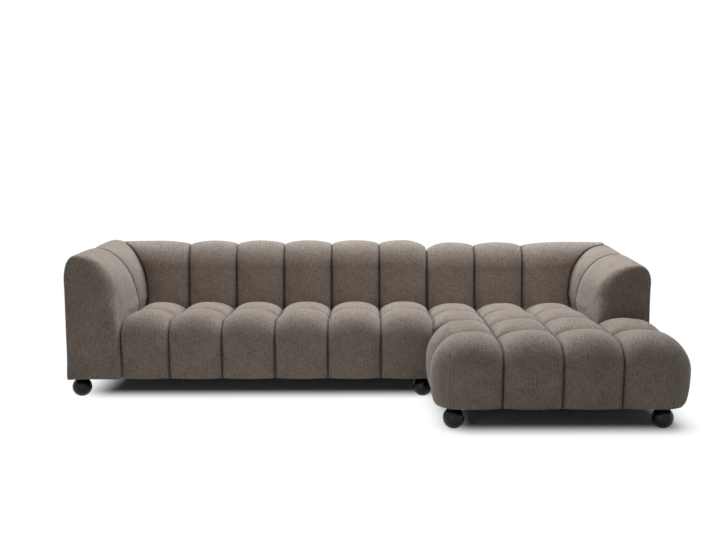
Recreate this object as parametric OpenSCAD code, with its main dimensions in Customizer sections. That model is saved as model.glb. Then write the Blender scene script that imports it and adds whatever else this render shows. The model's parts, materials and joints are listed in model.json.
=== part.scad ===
// Corner sofa in two modules, in millimetres: +X to the right, the front towards -Y, +Z up.
// The sofa module carries the left arm, and the chaise module the right arm.
// The origin is on the floor, in the middle of the whole sofa.

/* [Seats] */
// Width of one stitched channel
channel_w = 275; // [250:5:300]
// Depth of one row of tufts
row_d = 300; // [270:5:330]
// Channels across the sofa module
sofa_channels = 6; // [4:1:6]
// Channels across the chaise module, the one under its arm included
chaise_channels = 4; // [3:1:5]
// Height of the seat crowns above the floor
seat_h = 455; // [430:5:490]
// How deep the seams between channels sink into the seat
channel_dip = 70; // [30:2:80]
// How deep the seams between rows sink into the seat
row_dip = 58; // [20:1:65]
// How deep the channel seams sink into the upright fronts
front_dip = 28; // [10:1:36]
// Foam in front of the front rail
front_pad_t = 60; // [50:1:80]

/* [Back] */
// Height of the back above the floor
back_h = 754; // [700:2:820]
// Depth of the back from its front face to the rear
back_d = 300; // [285:5:340]
// Foam behind the rear rail
rear_pad_t = 40; // [30:1:50]
// How far the front of the back leans to the rear
back_lean = 35; // [10:1:50]
// How deep the seams sink into the front of the back
back_dip = 35; // [15:1:45]

/* [Arms] */
// Width of an arm
arm_w = 280; // [260:5:320]
// How far the left arm stands over the outer channel of the seat
arm_over = 24; // [0:1:30]
// Height of the left arm
left_arm_h = 757; // [700:1:800]
// How much the left arm falls to the rear
left_arm_fall = 4; // [0:1:20]
// Height of the right arm at its front
right_arm_h = 706; // [660:1:760]
// How much the right arm rises to the rear
right_arm_rise = 32; // [0:1:45]
// Distance of the seam across an arm from the front of the back
arm_seam = 135; // [100:5:220]
// Foam on the outer side of the left arm
arm_skin_t = 30; // [24:1:40]

/* [Chaise sides] */
// How far the sides of the chaise bulge past the frame
side_bulge = 60; // [56:1:70]
// How far the sides draw in towards the bottom
side_tuck = 25; // [10:1:30]

/* [Feet] */
// Diameter of the ball feet
foot_d = 100; // [80:1:120]
// Diameter of the threaded studs
stud_d = 10; // [8:1:12]
// Distance of the feet from the ends of the sofa module
foot_inset = 55; // [50:1:90]
// Distance of the outer chaise feet from the outside of the frame
chaise_foot_inset = 80; // [50:1:120]
// Distance of the feet from the front of the front rail
foot_setback = 26; // [22:1:30]

/* [Frame] */
// Height of the rails
rail_h = 140; // [110:5:160]
// Thickness of the front and rear rails
rail_t = 45; // [40:1:50]
// Thickness of the side and cross rails
side_rail_t = 28; // [22:1:32]
// Width of an elastic strap
strap_w = 70; // [50:5:90]
// Thickness of an elastic strap
strap_t = 2; // [1:0.5:3]
// Thickness of the felt under the foam
felt_t = 8; // [4:1:12]
// Thickness of the foot plates
plate_t = 4; // [3:0.5:6]

/* [Connectors] */
// Width of a connector tongue
tongue_w = 40; // [30:1:60]
// How far a tongue reaches into its socket
tongue_reach = 56; // [40:1:80]
// Sheet thickness of the sockets
socket_t = 3; // [2:0.5:4]

/* [Hidden] */

fabric_colour = [0.42, 0.38, 0.35];
timber_colour = [0.80, 0.66, 0.46];
board_colour = [0.62, 0.48, 0.32];
steel_colour = [0.70, 0.71, 0.73];
strap_colour = [0.16, 0.16, 0.17];
felt_colour = [0.55, 0.56, 0.55];
black_colour = [0.05, 0.05, 0.05];

// Clearances
soft_gap = 0.3;      // between a soft piece and what it lies against
module_gap = 0.6;    // between the two modules
fit_gap = 0.2;       // round a stud or a screw
slide_gap = 0.4;     // round a tongue in its socket

// Heights
base_z = foot_d + plate_t;
deck_z = base_z + rail_h;
felt_z = deck_z + 2 * strap_t;
pad_z = felt_z + felt_t + soft_gap;
arm_base_z = deck_z + soft_gap;

// The modules are drawn with the break line at X = 0 and the front face of the back at Y = 0
seat_d = 2 * row_d;
chaise_d = 4 * row_d;
sofa_w = sofa_channels * channel_w + arm_w - arm_over;
sofa_arm_x = arm_w - sofa_w;
arm_stand_off = 1;
chaise_arm_x = (chaise_channels - 1) * channel_w + arm_stand_off;
chaise_frame_w = chaise_arm_x + arm_w;
chaise_w = chaise_frame_w + side_bulge;
shift_x = (sofa_w - chaise_w) / 2;
shift_y = (chaise_d - back_d) / 2;
module place() { translate([shift_x, shift_y, 0]) children(); }

// Frame outlines
cover_t = 6;
frame_end = module_gap / 2 + cover_t;
frame_front = front_pad_t - seat_d;
chaise_front = front_pad_t - chaise_d;
frame_rear = back_d - rear_pad_t;
sofa_left = arm_skin_t - sofa_w;

// Pieces of the back and arm frames
post_t = 28;
post_w = 60;
panel_t = 4;
top_rail_h = 40;
back_cover_t = 116;
back_frame_h = back_h - back_cover_t;
panel_y = frame_rear - post_t - panel_t;
arm_frame_w = 156;
arm_board_t = 20;
side_panel_t = 12;
arm_cover_t = 86;

// Shape of a channel across: how flat its crown is, and how round its shoulders are
crown_power = 2.2;
crown_round = 0.6;
seat_steps = 6;
back_steps = 6;
arm_steps = 6;

// How high a channel stands at t, from 0 at one seam to 1 at its crown
function crown(t) = pow(max(0, 1 - pow(abs(2 * t - 1), crown_power)), crown_round);

// Stations across a run of channels, closer together beside the seams. Each one is
// [place, depth into the seam from 0 to 1, whether it belongs to an end seam].
function stations(seams, first, last, steps) = let (n = len(seams) - 2) [
    for (k = [0 : n])
        for (i = [0 : k == n ? steps : steps - 1])
            let (t = (1 - cos(180 * i / steps)) / 2)
            let (at_start = k == 0 && t < 0.5, at_end = k == n && t > 0.5)
            let (share = at_start ? first : (at_end ? last : 1))
            [seams[k] + (seams[k + 1] - seams[k]) * t, share * (1 - crown(t)),
             at_start || at_end ? 1 : 0]
];

// Rounded upright edge in section from the bottom up: [inset, height, outward, upward]
function edge(run, rise, tuck, top, low_steps, high_steps) = let (wide = top - rise) concat(
    [for (i = [0 : low_steps - 1])
        let (s = 1 - i / low_steps)
        [tuck * (1 - sqrt(1 - s * s)), wide - s * (wide - base_z), 1, 0]],
    [for (i = [0 : high_steps])
        let (a = 90 * i / high_steps)
        [run * (1 - cos(a)), wide + rise * sin(a), cos(a), sin(a)]]
);

// Two dips joined smoothly, so that a crossing of seams is the deepest place
function join_dips(a, b) = pow(pow(max(0, a), 3) + pow(max(0, b), 3), 1 / 3);

// Length along a line of points up to each of its points, as a share of the whole
function shares(line, points) = let (
    steps = [for (i = [1 : len(line) - 1]) norm(points[line[i]] - points[line[i - 1]])],
    sums = [for (i = 0, sum = 0; i <= len(steps); sum = sum + (i < len(steps) ? steps[i] : 0),
        i = i + 1) sum]
) sums / sums[len(sums) - 1];
function count_below(list, limit) = len([for (v = list) if (v < limit) v]);

// Triangles between the edges a and b, given as lists of point numbers. Each point of b
// serves the stretch of a that lies at the same share of its length.
function zip(a, b, points) = let (
    along_a = shares(a, points),
    along_b = shares(b, points),
    turn = [for (k = [0 : len(b) - 2])
        count_below(along_a, (along_b[k] + along_b[k + 1]) / 2)]
) concat(
    [for (i = [0 : len(a) - 2])
        let (k = count_below(turn, i + 0.5))
        [a[i + 1], a[i], b[k]]],
    [for (k = [0 : len(b) - 2]) [b[k], b[k + 1], a[turn[k]]]]
);

// Triangles of a grid whose points start at the number first, rows rows of across points
function grid_faces(rows, across, first, turned) = [
    for (r = [0 : rows - 2])
        for (c = [0 : across - 2])
            let (p = first + r * across + c, q = p + across)
            each (turned ? [[p, p + 1, q + 1], [p, q + 1, q]] : [[p, q + 1, p + 1], [p, q, q + 1]])
];

// Closed pad between an outer grid and a coarse inner grid, each a list of rows.
// The rims of the two grids are joined by strips of triangles.
module pad_between(outer, inner, mirrored = false) {
    n = len(outer);
    m = len(outer[0]);
    nn = len(inner);
    mm = len(inner[0]);
    first = n * m;
    points = concat([for (row = outer) each row], [for (row = inner) each row]);
    faces = concat(
        grid_faces(n, m, 0, false),
        grid_faces(nn, mm, first, true),
        zip([for (r = [0 : n - 1]) r * m], [for (r = [0 : nn - 1]) first + r * mm], points),
        zip([for (c = [m - 1 : -1 : 0]) c], [for (c = [mm - 1 : -1 : 0]) first + c], points),
        zip([for (r = [n - 1 : -1 : 0]) r * m + m - 1],
            [for (r = [nn - 1 : -1 : 0]) first + r * mm + mm - 1], points),
        zip([for (c = [0 : m - 1]) (n - 1) * m + c],
            [for (c = [0 : mm - 1]) first + (nn - 1) * mm + c], points)
    );
    polyhedron(points, mirrored ? faces : [for (f = faces) [f[2], f[1], f[0]]], convexity = 10);
}

// Places of the channel seams of each module, from the arm to the break or the other way
arm_gap = 0.8;
sofa_seat_end = sofa_arm_x + arm_gap;
sofa_seams = concat([sofa_seat_end], [for (k = [sofa_channels - 1 : -1 : 1]) -k * channel_w],
    [-module_gap / 2]);
chaise_seams = concat([module_gap / 2], [for (k = [1 : chaise_channels - 2]) k * channel_w],
    [chaise_arm_x - arm_gap]);
chaise_front_seams = [for (k = [0 : chaise_channels]) k * channel_w];

// Section of a seat from the bottom of its front to the back: [y, z, outward, upward, channel
// dip, row dip], where the row dip is already worked out for its place
front_run = 105;
front_rise = 165;
front_tuck = 16;
near_top = 15;       // a station this close to the start of a flat top is left out
near_side = 8;
function seat_section(front) = concat(
    [for (e = edge(front_run, front_rise, front_tuck, seat_h, 3, 5))
        [front + e[0], e[1], -e[2], e[3], front_dip + (channel_dip - front_dip) * e[3], 0]],
    [for (s = stations([front, front + row_d, front + 2 * row_d - soft_gap], 0, 1, seat_steps))
        if (s[0] > front + front_run + near_top)
            [s[0], seat_h, 0, 1, channel_dip, row_dip * s[1]]]
);

// Point of a seat at the station x and the section place s
function seat_point(x, s) = let (dip = join_dips(s[4] * x[1], s[5]))
    [x[0], s[0] - s[2] * dip, s[1] - s[3] * dip];

// Seat pad of the sofa module, with its channelled front hanging over the front rail
module sofa_seat_pad() {
    section = seat_section(-seat_d);
    across = stations(sofa_seams, 1, 1, seat_steps);
    front_in = frame_front - soft_gap;
    rear_in = -soft_gap;
    color(fabric_colour) place() pad_between(
        [for (x = across) [for (s = section) seat_point(x, s)]],
        [for (x = sofa_seams)
            [[x, front_in, base_z], [x, front_in, pad_z], [x, rear_in, pad_z]]]
    );
}

// Seat pad of the chaise module beside its arm, flat against the front pad
module chaise_seat_pad() {
    rows = [for (s = stations([-seat_d + soft_gap, -row_d, -soft_gap], 1, 1, seat_steps))
        [s[0], seat_h, 0, 1, channel_dip, row_dip * s[1]]];
    across = stations(chaise_seams, 1, 1, seat_steps);
    color(fabric_colour) place() pad_between(
        [for (x = across) [for (s = rows) seat_point(x, s)]],
        [for (x = chaise_seams)
            [for (y = [-seat_d + soft_gap, -soft_gap]) [x, y, pad_z]]]
    );
}

// Front pad of the chaise: the top, the front and both sides in one, with round corners.
// The grid folds down over the frame: a place is a top station or a step down an edge.
side_run = 120;
side_rise = 175;
fold_low = 4;
fold_high = 5;
side_edge = edge(side_run, side_rise, side_tuck, seat_h, fold_low, fold_high);
front_edge = edge(front_run, front_rise, front_tuck, seat_h, fold_low, fold_high);
folds = fold_low + fold_high;
left_more = 9;
front_pad_left = -side_bulge - left_more;
front_pad_right = chaise_w;

// Point on the round corner, i steps down the side and j steps down the front
function corner_point(side, i, j) = let (
    level = max(i, j),
    turn = level == 0 ? 0 : 90 * (i >= j ? j / (2 * level) : 1 - i / (2 * level)),
    se = side_edge[folds - level],
    fe = front_edge[folds - level],
    x = side < 0 ? front_pad_left + side_run : front_pad_right - side_run
) [x + side * (side_run - se[0]) * cos(turn),
   -chaise_d + front_run - (front_run - fe[0]) * sin(turn),
   se[1] + (fe[1] - se[1]) * turn / 90];

module chaise_front_pad() {
    side_dip = 34;
    low_fade = 0.6;
    left_top = front_pad_left + side_run;
    right_top = front_pad_right - side_run;
    front_top = -chaise_d + front_run;
    tops = [for (x = stations(chaise_front_seams, 0, 0, seat_steps))
        if (x[0] > left_top + near_side && x[0] < right_top - near_side) x];
    rows = [for (y = stations([-seat_d - soft_gap, -3 * row_d, -chaise_d], 1, 0, seat_steps))
        if (y[0] > front_top + near_top) y];
    along = concat([for (y = rows) [y[0], y[1]]], [[front_top, 0]]);
    across = concat([[left_top, 0]], [for (x = tops) [x[0], x[1]]], [[right_top, 0]]);
    n = len(across);
    m = len(along);
    // A station on the left or right edge, i steps down, at the place y along the row
    function side_point(side, i, y) = let (
        e = side_edge[folds - i],
        fade = 1 - low_fade * max(0, i - fold_high) / fold_low,
        dip = (side_dip + (row_dip - side_dip) * e[3]) * fade * y[1],
        x = side < 0 ? front_pad_left + e[0] + e[2] * dip : front_pad_right - e[0] - e[2] * dip
    ) [x, y[0], e[1] - e[3] * dip];
    // A station on the front edge, j steps down, at the place x across
    function front_point(x, j) = let (
        e = front_edge[folds - j],
        dip = (front_dip + (channel_dip - front_dip) * e[3]) * x[1]
    ) [x[0], -chaise_d + e[0] + e[2] * dip, e[1] - e[3] * dip];
    function top_point(x, y) = [x[0], y[0], seat_h - join_dips(channel_dip * x[1], row_dip * y[1])];
    outer = concat(
        [for (i = [folds : -1 : 1]) concat(
            [for (y = along) side_point(-1, i, y)],
            [for (j = [1 : folds]) corner_point(-1, i, j)])],
        [for (x = across) concat(
            [for (y = along) top_point(x, y)],
            [for (j = [1 : folds]) front_point(x, j)])],
        [for (i = [1 : folds]) concat(
            [for (y = along) side_point(1, i, y)],
            [for (j = [1 : folds]) corner_point(1, i, j)])]
    );
    left_in = frame_end - soft_gap;
    right_in = chaise_frame_w + soft_gap;
    front_in = chaise_front - soft_gap;
    rear_in = -seat_d - soft_gap;
    nick = 0.5;
    mid = 0.1;
    inner_x = concat([left_in], [for (k = [1 : chaise_channels - 1]) chaise_front_seams[k]],
        [right_in]);
    function low_row(x, inward) = [[x, rear_in, base_z], [x, front_in + nick, base_z],
        [x + inward * mid, front_in + mid, base_z]];
    inner = concat(
        [low_row(left_in, 1)],
        [for (x = inner_x) [[x, rear_in, pad_z], [x, front_in, pad_z],
            [x + (x == left_in ? nick : (x == right_in ? -nick : 0)), front_in, base_z]]],
        [low_row(right_in, -1)]
    );
    color(fabric_colour) place() pad_between(outer, inner, mirrored = true);
}

// Padded border on the right side of the chaise, under and behind the arm
module chaise_side_border() {
    border_steps = 4;
    lip = 6;             // least thickness at the upper rim
    top_gap = 20;
    border_drop = 40;    // how far it stays under the seat
    high = seat_h - border_drop;
    rear_inset = 4;
    side = edge(side_run, side_rise, side_tuck, high, border_steps, border_steps);
    shown = [for (e = side) if (e[0] < side_bulge - lip && e[1] < high - top_gap) e];
    border_seams = [-seat_d + soft_gap, -row_d, 0, back_d - rear_inset];
    along = stations(border_seams, 1, 1, arm_steps);
    inner_x = chaise_frame_w + soft_gap;
    top = shown[len(shown) - 1][1];
    border_dip = 14;
    color(fabric_colour) place() pad_between(
        [for (y = along) [for (e = shown)
            [chaise_w - e[0] - border_dip * y[1] * e[2], y[0], e[1]]]],
        [for (y = border_seams) [[inner_x, y, base_z], [inner_x, y, top - lip]]]
    );
}

// Section of a back from the bottom of its front, over the top, to the bottom of its rear:
// [y, z, rearward, upward, channel dip, dip at the open end]
back_round = 154;
back_crown_y = 150;
back_top_dip = 22;
back_rear_dip = 14;
back_end_dip = 49;
back_foot_in = 8;    // how far the rear draws in at the bottom
arm_end_share = 0.8; // depth of the end beside an arm, as a share of a seam
function back_section(high) = let (shoulder = high - back_round) concat(
    [for (i = [0 : 3])
        let (z = pad_z + (shoulder - pad_z) * i / 4)
        [back_lean * i / 4, z, -1, 0, back_dip, back_dip]],
    [for (i = [0 : 6])
        let (a = 15 * i)
        [back_crown_y - (back_crown_y - back_lean) * cos(a), shoulder + back_round * sin(a),
         -cos(a), sin(a), back_dip + (back_top_dip - back_dip) * sin(a),
         back_dip + (back_end_dip - back_dip) * sin(a)]],
    [for (i = [1 : 5])
        let (a = 90 - 18 * i)
        [back_crown_y + (back_d - back_crown_y) * cos(a), shoulder + back_round * sin(a),
         cos(a), sin(a), back_rear_dip + (back_top_dip - back_rear_dip) * sin(a),
         back_rear_dip + (back_end_dip - back_rear_dip) * sin(a)]],
    [for (i = [1 : 3])
        [back_d - (i == 3 ? back_foot_in : 0), shoulder + (base_z - shoulder) * i / 3, 1, 0,
         back_rear_dip * (1 - i / 4), back_rear_dip]]
);

// How far the end of a back leans away at the height z, to follow the arm beside it
end_lean = 0.055;
function lean_at(z) = end_lean * max(0, z - pad_z);

// Back pad over its frame. seams run from left to right, and arm_side is -1 where the arm is
// at the left end and 1 where it is at the right end.
module back_pad(seams, arm_side, high) {
    last = len(seams) - 1;
    section = back_section(high);
    across = stations(seams, arm_side < 0 ? arm_end_share : 1, arm_side < 0 ? 1 : arm_end_share,
        back_steps);
    near_seam = arm_side < 0 ? seams[1] : seams[last - 1];
    arm_end = arm_side < 0 ? seams[0] : seams[last];
    // A place in the channel beside the arm moves out with the lean of the arm
    function leaned(x, z) = let (share = (x - near_seam) / (arm_end - near_seam))
        x + arm_side * lean_at(z) * max(0, share);
    function outer_point(x, s) = let (
        open = x[2] == 1 && (x[0] - seams[0]) * arm_side < (seams[last] - x[0]) * arm_side,
        dip = x[1] * (open ? s[5] : s[4]),
        z = s[1] - s[3] * dip
    ) [leaned(x[0], z), s[0] - s[2] * dip, z];
    front_in = panel_y - soft_gap;
    rear_in = frame_rear + soft_gap;
    top_in = back_frame_h + soft_gap - (back_h - high);
    color(fabric_colour) place() pad_between(
        [for (x = across) [for (s = section) outer_point(x, s)]],
        [for (x = seams)
            [[x, front_in, pad_z], [leaned(x, top_in), front_in, top_in],
             [leaned(x, top_in), rear_in, top_in], [x, rear_in, pad_z], [x, rear_in, base_z]]]
    );
}
chaise_back_drop = 14;
chaise_back_h = back_h - chaise_back_drop;
module sofa_back_pad() { back_pad(sofa_seams, -1, back_h); }
module chaise_back_pad() { back_pad(chaise_seams, 1, chaise_back_h); }

// Outline of an arm in section, s inwards from its outer face: [s, z, outward, upward, seam dip].
// The outer side is upright, the top is round, and the inner face leans in to the seat.
arm_peak = 67;
arm_round = 2.2;
arm_inner_s = arm_w - 20;
arm_low_s = arm_w - 8;
outer_bend_z = 600;
inner_bend_z = 535;
arm_low_z = 400;
arm_foot_z = 262;
arm_outer_dip = 12;
arm_top_dip = 14;
arm_inner_dip = 24;
arm_foot_dip = 6;
// Rounded ends of an arm: [distance from the end, how far it draws in]
arm_front_round = [[3, 14], [10, 4], [22, 0]];
arm_rear_round = [[18, 4], [4, 22]];
// Lower rims of its ends: [distance from the end, distance from the sides]
arm_front_rim = [12, 40];
arm_rear_rim = [16, 50];
arm_lip = 4;         // how far the cover reaches past the lining at each end
arm_lip_in = 20;
arm_wall_gap = 1.4;
// The top falls behind the crown of the back, as the back does
rear_fall = 0.96;
function fallen(y, z) = y <= back_crown_y || z <= outer_bend_z ? z
    : outer_bend_z + (z - outer_bend_z)
        * sqrt(1 - rear_fall * pow((y - back_crown_y) / (back_d - back_crown_y), 2));
function bent(v) = sign(v) * pow(abs(v), 2 / arm_round);
function arm_outline(high, outer_z, inner_z) = concat(
    [for (i = [0 : 2])
        [0, outer_z + (outer_bend_z - outer_z) * i / 3, 1, 0, arm_outer_dip]],
    [for (i = [0 : 4])
        let (a = 22.5 * i)
        [arm_peak * (1 - bent(cos(a))), high - (high - outer_bend_z) * (1 - bent(sin(a))),
         cos(a), sin(a), arm_outer_dip + (arm_top_dip - arm_outer_dip) * sin(a)]],
    [for (i = [1 : 6])
        let (a = 15 * i)
        [arm_peak + (arm_inner_s - arm_peak) * bent(sin(a)),
         high - (high - inner_bend_z) * (1 - bent(cos(a))), -sin(a), cos(a),
         arm_top_dip + (arm_inner_dip - arm_top_dip) * sin(a)]],
    [[arm_low_s, arm_low_z, -1, 0, arm_top_dip], [arm_w, arm_foot_z, -1, 0, arm_foot_dip],
     [arm_w, inner_z, -1, 0, 0]]
);

// Arm pad pulled over its frame. outer_x is its outer face and inward points to the seat.
// floor_z, outer_z, inner_z and rear_z are the heights of its lower rim at the front, on the
// outer side, on the inner side and at the rear.
module arm_pad(outer_x, inward, high, rise, cavity_h, skin, floor_z, outer_z, inner_z, rear_z) {
    front = -seat_d;
    wall = frame_front - arm_wall_gap;
    rear_wall = frame_rear + arm_wall_gap;
    step = 1;
    low = 12;
    // Places along the arm: [y, inset, seam dip, 0 at the front, 1 between the walls, 2 behind]
    middle = [for (y = stations([front, -arm_seam, back_d], 0, 0, 2 * arm_steps))
        if (y[0] > wall + step + low && y[0] < rear_wall - step - low) [y[0], 0, y[1], 1]];
    along = concat(
        [for (r = arm_front_round) [front + r[0], r[1], 0, 0]],
        [[wall, 0, 0, 0], [wall + step, 0, 0, 1]],
        middle,
        [[rear_wall - step, 0, 0, 1], [rear_wall, 0, 0, 2]],
        [for (r = arm_rear_round) [back_d - r[0], r[1], 0, 2]]
    );
    function rim(zone, outer_side) = zone == 0 ? floor_z : (zone == 2 ? rear_z
        : (outer_side ? outer_z : inner_z));
    function ring(y) = let (
        top = high + rise * (y[0] - front) / (back_d - front),
        outline = arm_outline(top, rim(y[3], true), rim(y[3], false))
    ) [for (o = outline)
        let (dip = o[4] * y[2] + y[1])
        let (up = o[1] > arm_low_z ? o[3] * dip : 0)
        [outer_x + inward * (o[0] + o[2] * dip), y[0], fallen(y[0], o[1] - up)]];
    count = len(arm_outline(high, floor_z, inner_z));
    function rim_line(y, z, from, to, points) = [for (i = [0 : points - 1])
        [outer_x + inward * (from + (to - from) * i / (points - 1)), y, z]];
    rings = [for (y = along) ring(y)];
    outer = concat(
        [rim_line(front + arm_front_rim[0], floor_z, arm_front_rim[1], arm_w - arm_front_rim[1], count)],
        rings,
        [rim_line(back_d - arm_rear_rim[0], rear_z, arm_rear_rim[1], arm_w - arm_rear_rim[1], count)]
    );
    s_out = skin - soft_gap;
    s_in = skin + arm_frame_w + soft_gap;
    function cavity(y, lower_out, lower_in, top) = [for (p = [[s_out, lower_out], [s_out, top],
        [s_in, top], [s_in, lower_in]]) [outer_x + inward * p[0], y, p[1]]];
    inner = [
        rim_line(wall - arm_lip, floor_z, s_out + arm_lip_in, s_in - arm_lip_in, 4),
        cavity(wall, floor_z, floor_z, cavity_h),
        cavity(wall + step, outer_z, inner_z, cavity_h),
        cavity(rear_wall - step, outer_z, inner_z, cavity_h),
        cavity(rear_wall, rear_z, rear_z, cavity_h),
        rim_line(rear_wall + arm_lip, rear_z, s_out + arm_lip_in, s_in - arm_lip_in, 4)
    ];
    color(fabric_colour) place() pad_between(outer, inner, mirrored = inward > 0);
}
sofa_arm_board_z = left_arm_h - arm_cover_t;
chaise_arm_board_z = right_arm_h - arm_cover_t;
module sofa_arm_pad() {
    arm_pad(-sofa_w, 1, left_arm_h, -left_arm_fall, sofa_arm_board_z + soft_gap, arm_skin_t,
        base_z, base_z, arm_base_z, base_z);
}
module chaise_arm_pad() {
    arm_pad(chaise_frame_w, -1, right_arm_h, right_arm_rise, chaise_arm_board_z + soft_gap,
        arm_skin_t, arm_base_z, arm_base_z, arm_base_z, base_z);
}

// Box between two corners
module block(low, high) { translate(low) cube(high - low); }

// Places of the feet of each module
sofa_feet = [for (y = [frame_front + foot_setback, frame_rear - foot_setback])
    for (x = [-sofa_w + foot_inset, -foot_inset]) [x, y]];
chaise_feet = [for (y = [chaise_front + foot_setback, frame_rear - foot_setback])
    for (x = [foot_inset, chaise_frame_w - chaise_foot_inset]) [x, y]];

// Stud holes in the rails
stud_len_up = 60;
module stud_holes(feet) {
    for (p = feet) translate([p[0], p[1], base_z - 1])
        cylinder(d = stud_d + 2 * fit_gap, h = stud_len_up + 3, $fn = 32);
}

// Wood screws: the same screw holds the foot plates, the sockets and the tongues
screw_d = 4.5;
screw_len = 24;
screw_head_d = 9;
screw_head_h = 2.5;
plate_w = 60;
screw_pitch = [22, 15];
foot_screws = [for (dx = [-1, 1]) for (dy = [-1, 1]) [dx * screw_pitch[0], dy * screw_pitch[1]]];
module screw_holes(spots) {
    for (p = spots) translate([p[0], p[1], base_z - 1])
        cylinder(d = screw_d + 2 * fit_gap, h = screw_len + 2, $fn = 24);
}

// Connector places, and their screws in both modules
connector_y = [-row_d, 20];
socket_w = tongue_w + 2 * slide_gap + 2 * socket_t;
flange_w = 16;
socket_spare = 10;
socket_len = tongue_reach + socket_spare;
tongue_t = 4;
tongue_thin = 0.6;
socket_screw_x = [side_rail_t / 2, tongue_reach];
socket_screws = [for (y = connector_y) for (x = socket_screw_x)
    for (side = [-1, 1]) [-frame_end - x, y + side * (socket_w + flange_w) / 2]];
tongue_screws = [for (y = connector_y) for (side = [-1, 1])
    [frame_end + side_rail_t / 2, y + side * tongue_w / 4]];
function plate_screws(feet) = [for (f = feet) for (s = foot_screws) [f[0] + s[0], f[1] + s[1]]];
sofa_plate_screws = plate_screws(sofa_feet);
chaise_plate_screws = plate_screws(chaise_feet);

// Timber of the sofa module
module timber(low, high) { color(timber_colour) place() block(low, high); }
module sofa_front_rail() {
    color(timber_colour) place() difference() {
        block([sofa_left, frame_front, base_z], [-frame_end, frame_front + rail_t, deck_z]);
        stud_holes(sofa_feet);
        screw_holes(sofa_plate_screws);
    }
}
module sofa_rear_rail() {
    color(timber_colour) place() difference() {
        block([sofa_left, frame_rear - rail_t, base_z], [-frame_end, frame_rear, deck_z]);
        stud_holes(sofa_feet);
        screw_holes(sofa_plate_screws);
    }
}
inner_front = frame_front + rail_t;
inner_rear = frame_rear - rail_t;
chaise_inner_front = chaise_front + rail_t;
module sofa_left_rail() {
    timber([sofa_left, inner_front, base_z], [sofa_left + side_rail_t, inner_rear, deck_z]);
}
module sofa_right_rail() {
    color(timber_colour) place() difference() {
        block([-frame_end - side_rail_t, inner_front, base_z], [-frame_end, inner_rear, deck_z]);
        screw_holes(socket_screws);
    }
}

// Two rails along an arm: one carries its posts, the other the ends of the straps
module arm_rails(outer_x, inward, front) {
    for (s = [arm_skin_t + arm_frame_w - side_rail_t, arm_w]) {
        a = outer_x + inward * s;
        b = a + inward * side_rail_t;
        timber([min(a, b), front, base_z], [max(a, b), inner_rear, deck_z]);
    }
}
module sofa_arm_rails() { arm_rails(-sofa_w, 1, inner_front); }

// Rails across the seat, low enough for the straps to give
cross_drop = 30;
cross_count = 3;
sofa_bay = [sofa_arm_x + side_rail_t, -frame_end - side_rail_t];
module sofa_cross_rails() {
    for (k = [1 : cross_count]) {
        x = sofa_bay[0] + (sofa_bay[1] - sofa_bay[0]) * k / (cross_count + 1);
        timber([x - side_rail_t / 2, inner_front, base_z],
            [x + side_rail_t / 2, inner_rear, deck_z - cross_drop]);
    }
}

// Glue blocks: a triangle in each corner of the frame, where sx and sy point into the frame,
// and a square block behind the rail above each socket
corner_w = 95;
corner_h = 100;
module corner_block(x, y, sx, sy) {
    translate([x, y, base_z]) linear_extrude(corner_h)
        polygon([[0, 0], [sx * corner_w, 0], [0, sy * corner_w]]);
}
module corner_blocks(left, right, front) {
    corner_block(left, front, 1, 1);
    corner_block(left, inner_rear, 1, -1);
    corner_block(right, front, -1, 1);
    corner_block(right, inner_rear, -1, -1);
}
module sofa_glue_blocks() {
    right = -frame_end - side_rail_t;
    color(timber_colour) place() difference() {
        union() {
            corner_blocks(sofa_left + side_rail_t, right, inner_front);
            for (y = connector_y) block([right - socket_len, y - socket_w / 2 - flange_w, base_z],
                [right, y + socket_w / 2 + flange_w, base_z + rail_h / 2]);
        }
        screw_holes(socket_screws);
    }
}

// Posts, top rail and panel of a back between the places x0 and x1
module back_posts(x0, x1, count, high) {
    for (k = [0 : count - 1]) {
        x = x0 + (x1 - x0 - post_w) * k / (count - 1);
        timber([x, frame_rear - post_t, deck_z], [x + post_w, frame_rear, high - top_rail_h]);
    }
}
module top_rail(x0, x1, high) {
    timber([x0, frame_rear - post_t, high - top_rail_h], [x1, frame_rear, high]);
}
module back_board(x0, x1, high) {
    color(board_colour) place() block([x0, panel_y, deck_z], [x1, panel_y + panel_t, high]);
}
back_inset = 4;      // from an arm to the frame of the back
sofa_back_x = [sofa_arm_x + arm_gap + back_inset, -frame_end];
chaise_back_x = [frame_end, chaise_arm_x - arm_gap - back_inset];
chaise_back_frame_h = back_frame_h - (back_h - chaise_back_h);
module sofa_back_posts() { back_posts(sofa_back_x[0], sofa_back_x[1], 4, back_frame_h); }
module sofa_back_top_rail() { top_rail(sofa_back_x[0], sofa_back_x[1], back_frame_h); }
module sofa_back_panel() { back_board(sofa_back_x[0], sofa_back_x[1], back_frame_h); }

// Arm frame: posts on the inner side, a board on top and a panel on the outer side.
// The panel stands on the side rail, and the posts on the front, rear and arm rails.
module arm_posts(outer_x, inward, skin, high) {
    s = skin + arm_frame_w - post_t;
    for (y = [frame_front, -row_d / 2, frame_rear - post_w]) {
        a = outer_x + inward * s;
        b = a + inward * post_t;
        timber([min(a, b), y, deck_z], [max(a, b), y + post_w, high - arm_board_t]);
    }
}
module arm_board(outer_x, inward, skin, high) {
    a = outer_x + inward * skin;
    b = a + inward * arm_frame_w;
    timber([min(a, b), frame_front, high - arm_board_t], [max(a, b), frame_rear, high]);
}
module arm_panel(outer_x, inward, skin, high) {
    a = outer_x + inward * skin;
    b = a + inward * side_panel_t;
    color(board_colour) place()
        block([min(a, b), frame_front, deck_z], [max(a, b), frame_rear, high - arm_board_t]);
}
module sofa_arm_posts() { arm_posts(-sofa_w, 1, arm_skin_t, sofa_arm_board_z); }
module sofa_arm_top_board() { arm_board(-sofa_w, 1, arm_skin_t, sofa_arm_board_z); }
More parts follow.
